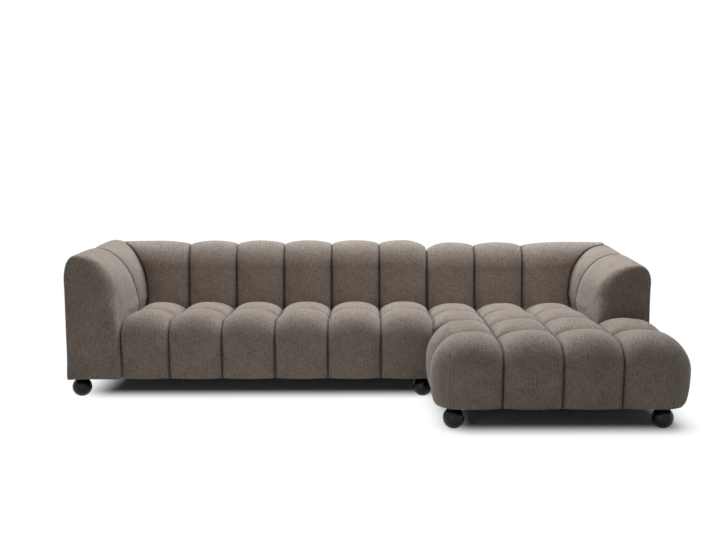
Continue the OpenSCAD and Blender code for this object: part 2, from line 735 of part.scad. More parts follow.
module sofa_arm_side_panel() { arm_panel(-sofa_w, 1, arm_skin_t, sofa_arm_board_z); }
module chaise_arm_posts() { arm_posts(chaise_frame_w, -1, arm_skin_t, chaise_arm_board_z); }
module chaise_arm_top_board() { arm_board(chaise_frame_w, -1, arm_skin_t, chaise_arm_board_z); }
module chaise_arm_side_panel() { arm_panel(chaise_frame_w, -1, arm_skin_t, chaise_arm_board_z); }

// Elastic straps: lengthwise ones on the rails, crosswise ones on top of them
strap_inset = 10;
seat_strap_rows = [-1.3, -0.5, 0.3];
front_strap_rows = [-3.2, -2.5];
module strap(x, y0, y1) {
    color(strap_colour) place()
        block([x - strap_w / 2, y0, deck_z], [x + strap_w / 2, y1, deck_z + strap_t]);
}
module cross_strap(y, x0, x1) {
    color(strap_colour) place() block([x0, y - strap_w / 2, deck_z + strap_t],
        [x1, y + strap_w / 2, deck_z + 2 * strap_t]);
}
felt_inset = 2;
strap_rear = panel_y - felt_inset;
module sofa_straps() {
    for (k = [1 : sofa_channels]) {
        x = (sofa_seams[k - 1] + sofa_seams[k]) / 2;
        strap(x, frame_front + strap_inset, strap_rear);
    }
}
module sofa_cross_straps() {
    for (y = seat_strap_rows)
        cross_strap(y * row_d, sofa_arm_x + strap_inset, -frame_end - strap_inset);
}
module felt(x0, x1, y0, y1) {
    color(felt_colour) place() block([x0, y0, felt_z], [x1, y1, felt_z + felt_t]);
}
module sofa_felt() {
    felt(sofa_arm_x + strap_inset, -frame_end, frame_front + felt_inset, strap_rear);
}

// End cover on the side of a module that faces the other one, in the shape of its end
module end_cover(x0, front, high) {
    color(fabric_colour) place() translate([x0, 0, 0]) rotate([90, 0, 90])
        linear_extrude(cover_t) polygon([[front, base_z], [frame_rear, base_z],
            [frame_rear, high], [panel_y, high], [panel_y, pad_z - soft_gap],
            [front, pad_z - soft_gap]]);
}
module sofa_end_cover() { end_cover(-frame_end, frame_front, back_frame_h); }
module chaise_end_cover() { end_cover(module_gap / 2, -seat_d + soft_gap, chaise_back_frame_h); }

// Dust cover under a module, cut out round the foot plates and the connectors
dust_t = 1;
dust_inset = 6;      // from the outside of the frame
cut_gap = 4;         // round a plate or a connector
module dust_cover(x0, x1, front, feet, cuts) {
    plate_cut = plate_w + cut_gap;
    connector_cut = socket_w + 2 * flange_w + cut_gap;
    color(black_colour) place() difference() {
        block([x0 + dust_inset, front + dust_inset, base_z - dust_t],
            [x1 - dust_inset, frame_rear - dust_inset, base_z]);
        for (p = feet) translate([p[0], p[1], base_z - dust_t / 2])
            cube([plate_cut, plate_cut, 3 * dust_t], center = true);
        for (y = connector_y) translate([(cuts[0] + cuts[1]) / 2, y, base_z - dust_t / 2])
            cube([cuts[1] - cuts[0], connector_cut, 3 * dust_t], center = true);
    }
}
module sofa_dust_cover() {
    dust_cover(sofa_left, -frame_end, frame_front, sofa_feet, [-frame_end - socket_len - cut_gap, 0]);
}
tongue_base = side_rail_t - 2;
module chaise_dust_cover() {
    dust_cover(frame_end, chaise_frame_w, chaise_front, chaise_feet,
        [0, frame_end + tongue_base + cut_gap]);
}

// Steel plate above each ball foot
module foot_plates(feet) {
    color(steel_colour) place() for (p = feet) translate([p[0], p[1], foot_d]) difference() {
        translate([-plate_w / 2, -plate_w / 2, 0]) cube([plate_w, plate_w, plate_t]);
        translate([0, 0, -1]) cylinder(d = stud_d + 2 * fit_gap, h = plate_t + 2, $fn = 32);
        for (s = foot_screws) translate([s[0], s[1], -1])
            cylinder(d = screw_d + 2 * fit_gap, h = plate_t + 2, $fn = 24);
    }
}
module sofa_foot_plates() { foot_plates(sofa_feet); }
module chaise_foot_plates() { foot_plates(chaise_feet); }

// Threaded stud from the ball foot up into the rail
stud_len_down = 36;
module foot_studs(feet) {
    color(steel_colour) place() for (p = feet) translate([p[0], p[1], foot_d - stud_len_down])
        cylinder(d = stud_d, h = stud_len_down + plate_t + stud_len_up, $fn = 32);
}
module sofa_foot_studs() { foot_studs(sofa_feet); }
module chaise_foot_studs() { foot_studs(chaise_feet); }

// Ball foot, flat on the floor and flat under its plate, with a bore for the stud
foot_flat = 1.5;
neck_d = 40;
neck_h = 8;
module ball_foot(p) {
    r = (foot_d + foot_flat) / 2;
    color(black_colour) place() translate([p[0], p[1], 0]) difference() {
        rotate_extrude($fn = 96) union() {
            intersection() {
                translate([0, r - foot_flat]) circle(r, $fn = 96);
                square([r + 1, foot_d - foot_flat]);
            }
            translate([0, foot_d - neck_h]) square([neck_d / 2, neck_h]);
        }
        translate([0, 0, foot_d - stud_len_down - fit_gap])
            cylinder(d = stud_d + 2 * fit_gap, h = stud_len_down + 1, $fn = 32);
    }
}
module sofa_foot_front_left() { ball_foot(sofa_feet[0]); }
module sofa_foot_front_right() { ball_foot(sofa_feet[1]); }
module sofa_foot_rear_left() { ball_foot(sofa_feet[2]); }
module sofa_foot_rear_right() { ball_foot(sofa_feet[3]); }
module chaise_foot_front_left() { ball_foot(chaise_feet[0]); }
module chaise_foot_front_right() { ball_foot(chaise_feet[1]); }
module chaise_foot_rear_left() { ball_foot(chaise_feet[2]); }
module chaise_foot_rear_right() { ball_foot(chaise_feet[3]); }

// One wood screw driven upwards, its head against the sheet that ends at the height z
module wood_screw(p, z) {
    color(steel_colour) place() translate([p[0], p[1], z - screw_head_h]) rotate_extrude($fn = 32)
        union() {
            square([screw_head_d / 2, screw_head_h]);
            square([screw_d / 2, screw_head_h + screw_len - 2]);
        }
}
module sofa_screws() {
    for (p = sofa_plate_screws) wood_screw(p, base_z - plate_t);
    for (p = socket_screws) wood_screw(p, base_z - socket_t);
}
module chaise_screws() {
    for (p = chaise_plate_screws) wood_screw(p, base_z - plate_t);
    for (p = tongue_screws) wood_screw(p, base_z - tongue_t);
}

// Sockets under the end of the sofa module: a folded sheet with two screwed flanges
socket_drop = tongue_t + slide_gap;
module sofa_sockets() {
    color(steel_colour) place() for (y = connector_y)
        translate([-frame_end - socket_len, y, base_z]) difference() {
            union() {
                translate([0, -socket_w / 2, -socket_drop - socket_t])
                    cube([socket_len, socket_w, socket_drop + socket_t]);
                translate([0, -socket_w / 2 - flange_w, -socket_t])
                    cube([socket_len, socket_w + 2 * flange_w, socket_t]);
            }
            translate([-1, -tongue_w / 2 - slide_gap, -socket_drop])
                cube([socket_len + 2, tongue_w + 2 * slide_gap, socket_drop + 1]);
            for (x = socket_screw_x) for (side = [-1, 1])
                translate([socket_len - x, side * (socket_w + flange_w) / 2, -socket_t - 1])
                    cylinder(d = screw_d + 2 * fit_gap, h = socket_t + 2, $fn = 24);
        }
}

// Tongues under the end of the chaise module, thinner where they run in the sockets
module chaise_tongues() {
    color(steel_colour) place() for (y = connector_y) translate([0, y, base_z]) difference() {
        union() {
            translate([-frame_end - tongue_reach, -tongue_w / 2, -tongue_t])
                cube([tongue_reach + frame_end + 1, tongue_w, tongue_t - tongue_thin]);
            translate([1, -tongue_w / 2, -tongue_t])
                cube([frame_end + tongue_base - 1, tongue_w, tongue_t - tongue_thin]);
            translate([frame_end, -tongue_w / 2, -tongue_t])
                cube([tongue_base, tongue_w, tongue_t]);
        }
        for (side = [-1, 1])
            translate([frame_end + side_rail_t / 2, side * tongue_w / 4, -tongue_t - 1])
                cylinder(d = screw_d + 2 * fit_gap, h = tongue_t + 2, $fn = 24);
    }
}

// Timber of the chaise module
module chaise_front_rail() {
    color(timber_colour) place() difference() {
        block([frame_end, chaise_front, base_z],
            [chaise_frame_w, chaise_front + rail_t, deck_z]);
        stud_holes(chaise_feet);
        screw_holes(chaise_plate_screws);
    }
}
module chaise_rear_rail() {
    color(timber_colour) place() difference() {
        block([frame_end, frame_rear - rail_t, base_z], [chaise_frame_w, frame_rear, deck_z]);
        stud_holes(chaise_feet);
        screw_holes(chaise_plate_screws);
    }
}
module chaise_left_rail() {
    color(timber_colour) place() difference() {
        block([frame_end, chaise_inner_front, base_z],
            [frame_end + side_rail_t, inner_rear, deck_z]);
        screw_holes(tongue_screws);
    }
}
module chaise_right_rail() {
    timber([chaise_frame_w - side_rail_t, chaise_inner_front, base_z],
        [chaise_frame_w, inner_rear, deck_z]);
}
chaise_inner_x = [frame_end + side_rail_t, chaise_frame_w - side_rail_t];
split_gap = 12;      // from the rail under the split in the seat to the split
module chaise_cross_rails() {
    for (y = [[-seat_d - split_gap - side_rail_t, -seat_d - split_gap],
        [frame_front, frame_front + post_w]])
        timber([chaise_inner_x[0], y[0], base_z], [chaise_inner_x[1], y[1], deck_z]);
}
module chaise_arm_rails() { arm_rails(chaise_frame_w, -1, frame_front + post_w); }
module chaise_glue_blocks() {
    color(timber_colour) place()
        corner_blocks(chaise_inner_x[0], chaise_inner_x[1], chaise_inner_front);
}
module chaise_back_posts() {
    back_posts(chaise_back_x[0], chaise_back_x[1], 3, chaise_back_frame_h);
}
module chaise_back_top_rail() { top_rail(chaise_back_x[0], chaise_back_x[1], chaise_back_frame_h); }
module chaise_back_panel() { back_board(chaise_back_x[0], chaise_back_x[1], chaise_back_frame_h); }
module chaise_straps() {
    for (k = [1 : chaise_channels - 1])
        strap((chaise_seams[k - 1] + chaise_seams[k]) / 2, chaise_front + strap_inset, strap_rear);
    strap((chaise_arm_x + chaise_frame_w) / 2, chaise_front + strap_inset, -seat_d - felt_inset);
}
module chaise_cross_straps() {
    for (y = seat_strap_rows)
        cross_strap(y * row_d, frame_end + strap_inset, chaise_arm_x - strap_inset);
    for (y = front_strap_rows)
        cross_strap(y * row_d, frame_end + strap_inset, chaise_frame_w - strap_inset);
}
module chaise_felt() {
    felt(frame_end, chaise_arm_x - arm_stand_off, -seat_d, strap_rear);
    felt(frame_end, chaise_frame_w, chaise_front + felt_inset, -seat_d);
}

sofa_front_rail();
sofa_rear_rail();
sofa_left_rail();
sofa_right_rail();
sofa_arm_rails();
sofa_cross_rails();
sofa_glue_blocks();
sofa_back_posts();
sofa_back_top_rail();
sofa_back_panel();
sofa_arm_posts();
sofa_arm_top_board();
sofa_arm_side_panel();
sofa_straps();
sofa_cross_straps();
sofa_felt();
sofa_seat_pad();
sofa_back_pad();
sofa_arm_pad();
sofa_end_cover();
sofa_dust_cover();
sofa_foot_plates();
sofa_foot_studs();
sofa_screws();
sofa_sockets();
sofa_foot_front_left();
sofa_foot_front_right();
sofa_foot_rear_left();
sofa_foot_rear_right();
chaise_front_rail();
chaise_rear_rail();
chaise_left_rail();
chaise_right_rail();
chaise_arm_rails();
chaise_cross_rails();
chaise_glue_blocks();
chaise_back_posts();
chaise_back_top_rail();
chaise_back_panel();
chaise_arm_posts();
chaise_arm_top_board();
chaise_arm_side_panel();
chaise_straps();
chaise_cross_straps();
chaise_felt();
chaise_seat_pad();
chaise_front_pad();
chaise_back_pad();
chaise_arm_pad();
chaise_side_border();
chaise_end_cover();
chaise_dust_cover();
chaise_foot_plates();
chaise_foot_studs();
chaise_screws();
chaise_tongues();
chaise_foot_front_left();
chaise_foot_front_right();
chaise_foot_rear_left();
chaise_foot_rear_right();
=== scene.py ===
import json
import math
import random
from functools import partial
import bpy
import bmesh
import numpy as np
from mathutils import Matrix, Vector
from mathutils.geometry import intersect_point_tri_2d


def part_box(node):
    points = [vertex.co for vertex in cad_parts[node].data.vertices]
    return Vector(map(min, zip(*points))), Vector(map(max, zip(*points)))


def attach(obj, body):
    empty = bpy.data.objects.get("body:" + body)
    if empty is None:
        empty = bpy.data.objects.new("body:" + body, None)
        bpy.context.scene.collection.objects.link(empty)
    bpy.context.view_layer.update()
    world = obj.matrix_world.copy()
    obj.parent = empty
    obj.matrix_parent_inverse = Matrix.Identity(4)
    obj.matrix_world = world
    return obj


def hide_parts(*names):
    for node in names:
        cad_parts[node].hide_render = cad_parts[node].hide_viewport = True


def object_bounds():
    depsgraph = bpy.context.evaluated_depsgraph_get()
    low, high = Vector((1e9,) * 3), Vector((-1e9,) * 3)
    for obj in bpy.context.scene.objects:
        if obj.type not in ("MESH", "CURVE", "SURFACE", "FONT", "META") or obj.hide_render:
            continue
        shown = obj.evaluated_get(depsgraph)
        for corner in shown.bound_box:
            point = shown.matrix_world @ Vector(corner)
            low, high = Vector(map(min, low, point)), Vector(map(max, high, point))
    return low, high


# Corner sofa in two modules, in metres: a sofa with the left arm and a chaise with the right one.
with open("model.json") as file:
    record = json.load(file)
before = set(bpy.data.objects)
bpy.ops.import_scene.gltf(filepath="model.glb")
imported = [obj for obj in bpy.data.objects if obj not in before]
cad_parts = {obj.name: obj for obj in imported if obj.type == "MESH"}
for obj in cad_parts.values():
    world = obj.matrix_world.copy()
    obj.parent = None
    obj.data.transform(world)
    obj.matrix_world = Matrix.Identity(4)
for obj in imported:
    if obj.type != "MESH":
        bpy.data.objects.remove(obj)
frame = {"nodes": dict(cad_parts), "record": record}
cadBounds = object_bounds()
scene = bpy.context.scene
print("frame loaded:", len(frame["nodes"]), "nodes")


# Places that both modules share, taken from the frame

def low(node):
    return Vector(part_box(node)[0])


def high(node):
    return Vector(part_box(node)[1])


breakX = (high("sofa_seat_pad").x + low("chaise_seat_pad").x) / 2   # line where the modules meet
backY = low("sofa_back_pad").y                                      # front face of the backs
baseZ = low("sofa_front_rail").z                                    # underside of the frames
deckZ = high("sofa_front_rail").z                                   # top of the rails
padZ = low("chaise_seat_pad").z                                     # underside of the seat foam
seatTop = high("sofa_seat_pad").z
rearY = high("sofa_back_pad").y
softGap = 0.0003


# Camera, at the photograph's viewing angle

cameraFit = {
    "place": (0.019, -5.098, 1.319),
    "pitch": 7.40, "yaw": -0.48, "roll": -0.19,   # degrees
    "focalPixels": 978.2, "pixelsAcross": 716, "sensor": 36.0,
}


def makeCamera(fit):
    data = bpy.data.cameras.new("camera")
    data.sensor_width = fit["sensor"]
    data.lens = fit["focalPixels"] / fit["pixelsAcross"] * fit["sensor"]
    camera = bpy.data.objects.new("camera", data)
    pitch, yaw, roll = (math.radians(fit[k]) for k in ("pitch", "yaw", "roll"))
    ahead = Vector((math.sin(yaw) * math.cos(pitch), math.cos(yaw) * math.cos(pitch), -math.sin(pitch)))
    right = Vector((math.cos(yaw), -math.sin(yaw), 0))
    up = right.cross(ahead)
    turn = Matrix((right, up, -ahead)).transposed().to_4x4()
    camera.matrix_world = Matrix.Translation(fit["place"]) @ turn @ Matrix.Rotation(roll, 4, "Z")
    scene.collection.objects.link(camera)
    scene.camera = camera


makeCamera(cameraFit)


# Helpers for node trees, and the shader groups

def feed(tree, socket, value):
    # What another node gives is linked, and any other value is set on the socket
    if isinstance(value, bpy.types.NodeSocket):
        tree.links.new(value, socket)
    else:
        socket.default_value = value


def addNode(tree, kind, values=(), **settings):
    # values go to the inputs, by their number or name
    node = tree.nodes.new(kind)
    for name, value in settings.items():
        setattr(node, name, value)
    for key, value in (values.items() if isinstance(values, dict) else enumerate(values)):
        feed(tree, node.inputs[key], value)
    return node


def calc(tree, operation, *values):
    return addNode(tree, "ShaderNodeMath", values, operation=operation).outputs[0]


def calcVector(tree, operation, *values):
    node = addNode(tree, "ShaderNodeVectorMath", values, operation=operation)
    return node.outputs["Value" if operation == "LENGTH" else "Vector"]


def mixColours(tree, share, first, second):
    return addNode(tree, "ShaderNodeMix", {0: share, 6: first, 7: second}, data_type="RGBA").outputs[2]


def noiseOf(tree, place, scale, detail=2.0, roughness=0.5):
    values = {"Vector": place, "Scale": scale, "Detail": detail, "Roughness": roughness}
    return addNode(tree, "ShaderNodeTexNoise", values).outputs["Fac"]


def streaksOf(tree, place, scales, detail=2.0):
    # Noise with a scale of its own in each direction
    return noiseOf(tree, calcVector(tree, "MULTIPLY", place, scales), 1.0, detail)


surfaceOutputs = (("Color", "Color"), ("Roughness", "Float"), ("Height", "Float"))


def newGroup(name, inputs, outputs=surfaceOutputs, kind="ShaderNodeTree"):
    # Gives the tree, the sockets with its inputs and the sockets for its outputs
    tree = bpy.data.node_groups.new(name, kind)
    for title, socketType, default in inputs:
        socket = tree.interface.new_socket(title, in_out="INPUT", socket_type="NodeSocket" + socketType)
        if default is not None:
            socket.default_value = default
    for title, socketType in outputs:
        tree.interface.new_socket(title, in_out="OUTPUT", socket_type="NodeSocket" + socketType)
    return tree, tree.nodes.new("NodeGroupInput").outputs, tree.nodes.new("NodeGroupOutput").inputs


def giveSurface(tree, results, *values):
    for (title, socketType), value in zip(surfaceOutputs, values):
        tree.links.new(value, results[title])


def makeWeaveGroup():
    # Herringbone in a slubby yarn, placed in metres along the cloth
    tree, given, results = newGroup("wovenCloth", (
        ("Place", "Vector", None), ("Dark Yarn", "Color", (0.1, 0.09, 0.08, 1)),
        ("Light Yarn", "Color", (0.3, 0.27, 0.25, 1)), ("Pitch", "Float", 0.0026),
        ("Column Width", "Float", 0.009), ("Slub", "Float", 0.5), ("Shade", "Float", 0.0)))
    maths = partial(calc, tree)
    place = given["Place"]
    split = addNode(tree, "ShaderNodeSeparateXYZ", (place,)).outputs
    across = maths("DIVIDE", split[0], given["Column Width"])
    across = maths("MULTIPLY_ADD", noiseOf(tree, place, 60.0), 0.25, across)
    rise = maths("MULTIPLY", maths("PINGPONG", across, 1.0), given["Column Width"])
    along = maths("DIVIDE", maths("ADD", split[1], rise), given["Pitch"])
    ridge = maths("ABSOLUTE", maths("SINE", maths("MULTIPLY", along, math.pi)))
    # Uneven yarn: streaks along both thread directions, and a fine grain
    warp = streaksOf(tree, place, (330.0, 26.0, 1.0))
    weft = streaksOf(tree, place, (26.0, 330.0, 1.0))
    grain = noiseOf(tree, place, 300.0, 3.0, 0.65)
    threads = maths("MULTIPLY", maths("ADD", warp, weft), 0.3)
    uneven = maths("MULTIPLY_ADD", grain, 0.4, threads)
    tone = maths("MULTIPLY_ADD", maths("SUBTRACT", uneven, 0.5), given["Slub"], 0.5)
    # Ridges, broad clouds, mottling and the two directions of the herringbone, each with its middle and share
    mottle = noiseOf(tree, place, 75.0)
    cloud = noiseOf(tree, place, 9.0, 3.0, 0.6)
    column = maths("SIGN", maths("SUBTRACT", maths("FRACT", maths("MULTIPLY", across, 0.5)), 0.5))
    for part, middle, share in ((ridge, 0.64, 0.40), (cloud, 0.5, 0.45), (mottle, 0.5, 0.60),
                                (column, 0.0, 0.025)):
        tone = maths("MULTIPLY_ADD", maths("SUBTRACT", part, middle), share, tone)
    tone = maths("MINIMUM", maths("MAXIMUM", tone, 0.0), 1.0)
    colour = mixColours(tree, tone, given["Dark Yarn"], given["Light Yarn"])
    # Painted shade: the yarn colour goes towards near-black where Shade is high, in the seams and in the
    # folds between rows
    colour = mixColours(tree, given["Shade"], colour, (0.012, 0.009, 0.007, 1))
    height = maths("ADD", maths("MULTIPLY", ridge, 0.6), maths("MULTIPLY", uneven, 0.8))
    giveSurface(tree, results, colour, maths("MULTIPLY_ADD", uneven, 0.12, 0.82), height)
    return tree


def makeGrainGroup():
    # Wood grain along X
    tree, given, results = newGroup("woodGrain", (
        ("Place", "Vector", None), ("Early Wood", "Color", (0.6, 0.45, 0.28, 1)),
        ("Late Wood", "Color", (0.4, 0.26, 0.14, 1)), ("Stretch", "Float", 14.0), ("Scale", "Float", 30.0)))
    maths = partial(calc, tree)
    split = addNode(tree, "ShaderNodeSeparateXYZ", (given["Place"],)).outputs
    thin = maths("DIVIDE", split[0], given["Stretch"])
    place = addNode(tree, "ShaderNodeCombineXYZ", (thin, split[1], split[2])).outputs[0]
    warp = noiseOf(tree, place, maths("MULTIPLY", given["Scale"], 0.4))
    rings = maths("MULTIPLY", maths("ADD", split[1], split[2]), given["Scale"])
    band = maths("POWER", maths("FRACT", maths("MULTIPLY_ADD", warp, 6.0, rings)), 2.5)
    fibre = noiseOf(tree, place, maths("MULTIPLY", given["Scale"], 22.0), 3.0, 0.7)
    tone = maths("ADD", maths("MULTIPLY", band, 0.7), maths("MULTIPLY", fibre, 0.3))
    colour = mixColours(tree, tone, given["Early Wood"], given["Late Wood"])
    rough = maths("MULTIPLY_ADD", fibre, 0.25, 0.5)
    giveSurface(tree, results, colour, rough, maths("SUBTRACT", fibre, maths("MULTIPLY", band, 0.3)))
    return tree


weaveGroup = makeWeaveGroup()
grainGroup = makeGrainGroup()
print("shader groups made")


def newMaterial(name):
    material = bpy.data.materials.new(name)
    material.use_nodes = True
    tree = material.node_tree
    return material, tree, tree.nodes["Principled BSDF"]


def objectPlace(tree):
    return addNode(tree, "ShaderNodeTexCoord").outputs["Object"]


def dress(tree, shader, colour, rough, height, bump, plain):
    # bump is a strength and a distance, and plain is what is the same all over the surface
    normal = addNode(tree, "ShaderNodeBump", {"Strength": bump[0], "Distance": bump[1], "Height": height})
    values = {"Base Color": colour, "Roughness": rough, "Normal": normal.outputs[0], **plain}
    for key, value in values.items():
        feed(tree, shader.inputs[key], value)


upholsteryLook = {
    "sewn": True, "darkYarn": (0.122, 0.091, 0.070, 1), "lightYarn": (0.455, 0.362, 0.296, 1),
    "pitch": 0.0052, "columnWidth": 0.0095, "slub": 2.8, "bump": (0.8, 0.0013),
    "plain": {"Specular IOR Level": 0.25, "Sheen Weight": 0.35, "Sheen Roughness": 0.36,
              "Sheen Tint": (1.0, 0.98, 0.95, 1)},
}
hiddenCloth = {"sewn": False, "plain": {"Specular IOR Level": 0.2}}
webbingLook = {**hiddenCloth, "darkYarn": (0.012, 0.012, 0.014, 1), "lightYarn": (0.06, 0.06, 0.066, 1),
               "pitch": 0.004, "columnWidth": 0.006, "slub": 0.8, "bump": (0.7, 0.0008)}
feltLook = {**hiddenCloth, "darkYarn": (0.16, 0.17, 0.165, 1), "lightYarn": (0.42, 0.43, 0.42, 1),
            "pitch": 0.011, "columnWidth": 0.003, "slub": 2.2, "bump": (0.7, 0.0012)}
dustClothLook = {**hiddenCloth, "darkYarn": (0.010, 0.010, 0.011, 1), "lightYarn": (0.035, 0.035, 0.037, 1),
                 "pitch": 0.0016, "columnWidth": 0.0016, "slub": 1.2, "bump": (0.7, 0.0003)}


def makeCloth(name, look):
    # The weave of the sewn cover follows the cloth, and any other lies by object coordinates
    material, tree, shader = newMaterial(name)
    values = {"Dark Yarn": look["darkYarn"], "Light Yarn": look["lightYarn"], "Pitch": look["pitch"],
              "Column Width": look["columnWidth"], "Slub": look["slub"]}
    if look["sewn"]:
        values["Place"] = addNode(tree, "ShaderNodeUVMap", uv_map="clothPlace").outputs[0]
        # This attribute holds the painted shade of the seams and of the folds between rows
        values["Shade"] = addNode(tree, "ShaderNodeAttribute", attribute_name="paintedSeamShade").outputs["Fac"]
    else:
        values["Place"] = objectPlace(tree)
    cloth = addNode(tree, "ShaderNodeGroup", values, node_tree=weaveGroup).outputs
    dress(tree, shader, cloth["Color"], cloth["Roughness"], cloth["Height"], look["bump"], look["plain"])
    return material


def makeTimber(name, early, late, scale):
    material, tree, shader = newMaterial(name)
    values = {"Place": objectPlace(tree), "Early Wood": early, "Late Wood": late, "Scale": scale}
    grain = addNode(tree, "ShaderNodeGroup", values, node_tree=grainGroup).outputs
    dress(tree, shader, grain["Color"], grain["Roughness"], grain["Height"], (0.5, 0.0006), {})
    return material


def makeLacquer():
    # Black gloss lacquer on a turned ball, with faint turning rings and more dust low down
    material, tree, shader = newMaterial("black_lacquer")
    maths = partial(calc, tree)
    place = objectPlace(tree)
    rings = streaksOf(tree, place, (4.0, 4.0, 700.0), 1.0)
    peel = noiseOf(tree, place, 260.0)
    dust = noiseOf(tree, place, 48.0, 4.0, 0.7)
    upwards = addNode(tree, "ShaderNodeSeparateXYZ", (place,)).outputs[2]
    lowDown = maths("SUBTRACT", 1.0, maths("MULTIPLY", upwards, 14.0))
    dusty = maths("MULTIPLY", maths("MAXIMUM", lowDown, 0.15), dust)
    colour = mixColours(tree, maths("MULTIPLY", dusty, 0.12), (0.006, 0.006, 0.006, 1),
                        (0.08, 0.075, 0.07, 1))
    height = maths("ADD", maths("MULTIPLY", rings, 0.3), maths("MULTIPLY", peel, 0.7))
    dress(tree, shader, colour, maths("MULTIPLY_ADD", dusty, 0.28, 0.24), height, (0.12, 0.0004),
          {"Specular IOR Level": 0.22})
    return material


def makeSteel():
    # Zinc-coated steel with spangle and scratches
    material, tree, shader = newMaterial("zinc_steel")
    place = objectPlace(tree)
    spangle = addNode(tree, "ShaderNodeTexVoronoi", {"Vector": place, "Scale": 160.0}).outputs["Distance"]
    scratch = streaksOf(tree, place, (1200.0, 40.0, 200.0))
    tone = calc(tree, "MULTIPLY", calc(tree, "ADD", spangle, scratch), 0.4)
    colour = mixColours(tree, tone, (0.62, 0.63, 0.65, 1), (0.42, 0.43, 0.45, 1))
    dress(tree, shader, colour, calc(tree, "MULTIPLY_ADD", tone, 0.3, 0.28), scratch, (0.2, 0.0002),
          {"Metallic": 1.0})
    return material


upholstery = makeCloth("taupe_upholstery", upholsteryLook)
steel = makeSteel()
dustCloth = makeCloth("dust_cloth", dustClothLook)
nodeLooks = {
    "timber": makeTimber("planed_pine", (0.62, 0.45, 0.27, 1), (0.42, 0.26, 0.13, 1), 55.0),
    "board": makeTimber("raw_hardboard", (0.36, 0.24, 0.14, 1), (0.26, 0.16, 0.09, 1), 9.0),
    "webbing": makeCloth("elastic_webbing", webbingLook), "felt": makeCloth("needled_felt", feltLook),
    "dust_cloth": dustCloth, "steel": steel, "foot_lacquer": makeLacquer(), "upholstery": upholstery,
}
for entry in frame["record"]["subparts"]:
    materials = frame["nodes"][entry["node"]].data.materials
    materials.clear()
    materials.append(nodeLooks[entry["material_slot"]])
print("materials made")


# Padded pieces. Each is a grid of places over its smooth form, with an outward direction and the
# depths of the channel and row seams at every place. Geometry nodes sew the seams into it.

quilting = {
    "spacing": 0.0100,        # distance between places
    "crownPower": 2.0, "crownRoundness": 0.70, "fill": 0.85,
    "gatherHeight": 0.0040, "gatherPitch": 0.019, "gatherReach": 0.022, "seed": 11.0,
    "grooveDepth": 0.0100, "grooveReach": 0.0022,
    # The seam and fold entries below set how wide and how strong the painted shade is in the seams and in the
    # folds between rows
    "seamWidth": 0.0042, "seamPaintedShade": 0.92, "foldWidth": 0.036, "foldDepth": 0.050, "foldPaintedShade": 0.34,
    "pressure": 4.0, "frames": 20, "cap": 0.0035, "spareCloth": -0.004, "seamMargin": 0.0004,
    "rimCrease": 0.7,
}
quiltInputs = {
    "Crown Power": "crownPower", "Crown Roundness": "crownRoundness", "Gather Height": "gatherHeight",
    "Gather Pitch": "gatherPitch", "Gather Reach": "gatherReach", "Groove Depth": "grooveDepth",
    "Groove Reach": "grooveReach", "Seed": "seed",
}


def fieldOf(tree, name, kind="FLOAT"):
    return addNode(tree, "GeometryNodeInputNamedAttribute", (name,), data_type=kind).outputs["Attribute"]


def endTree(tree, results, geometry, material):
    whole = addNode(tree, "GeometryNodeRealizeInstances", {"Geometry": geometry})
    dressed = addNode(tree, "GeometryNodeSetMaterial", {"Geometry": whole.outputs[0], "Material": material})
    tree.links.new(dressed.outputs[0], results[0])
    return tree


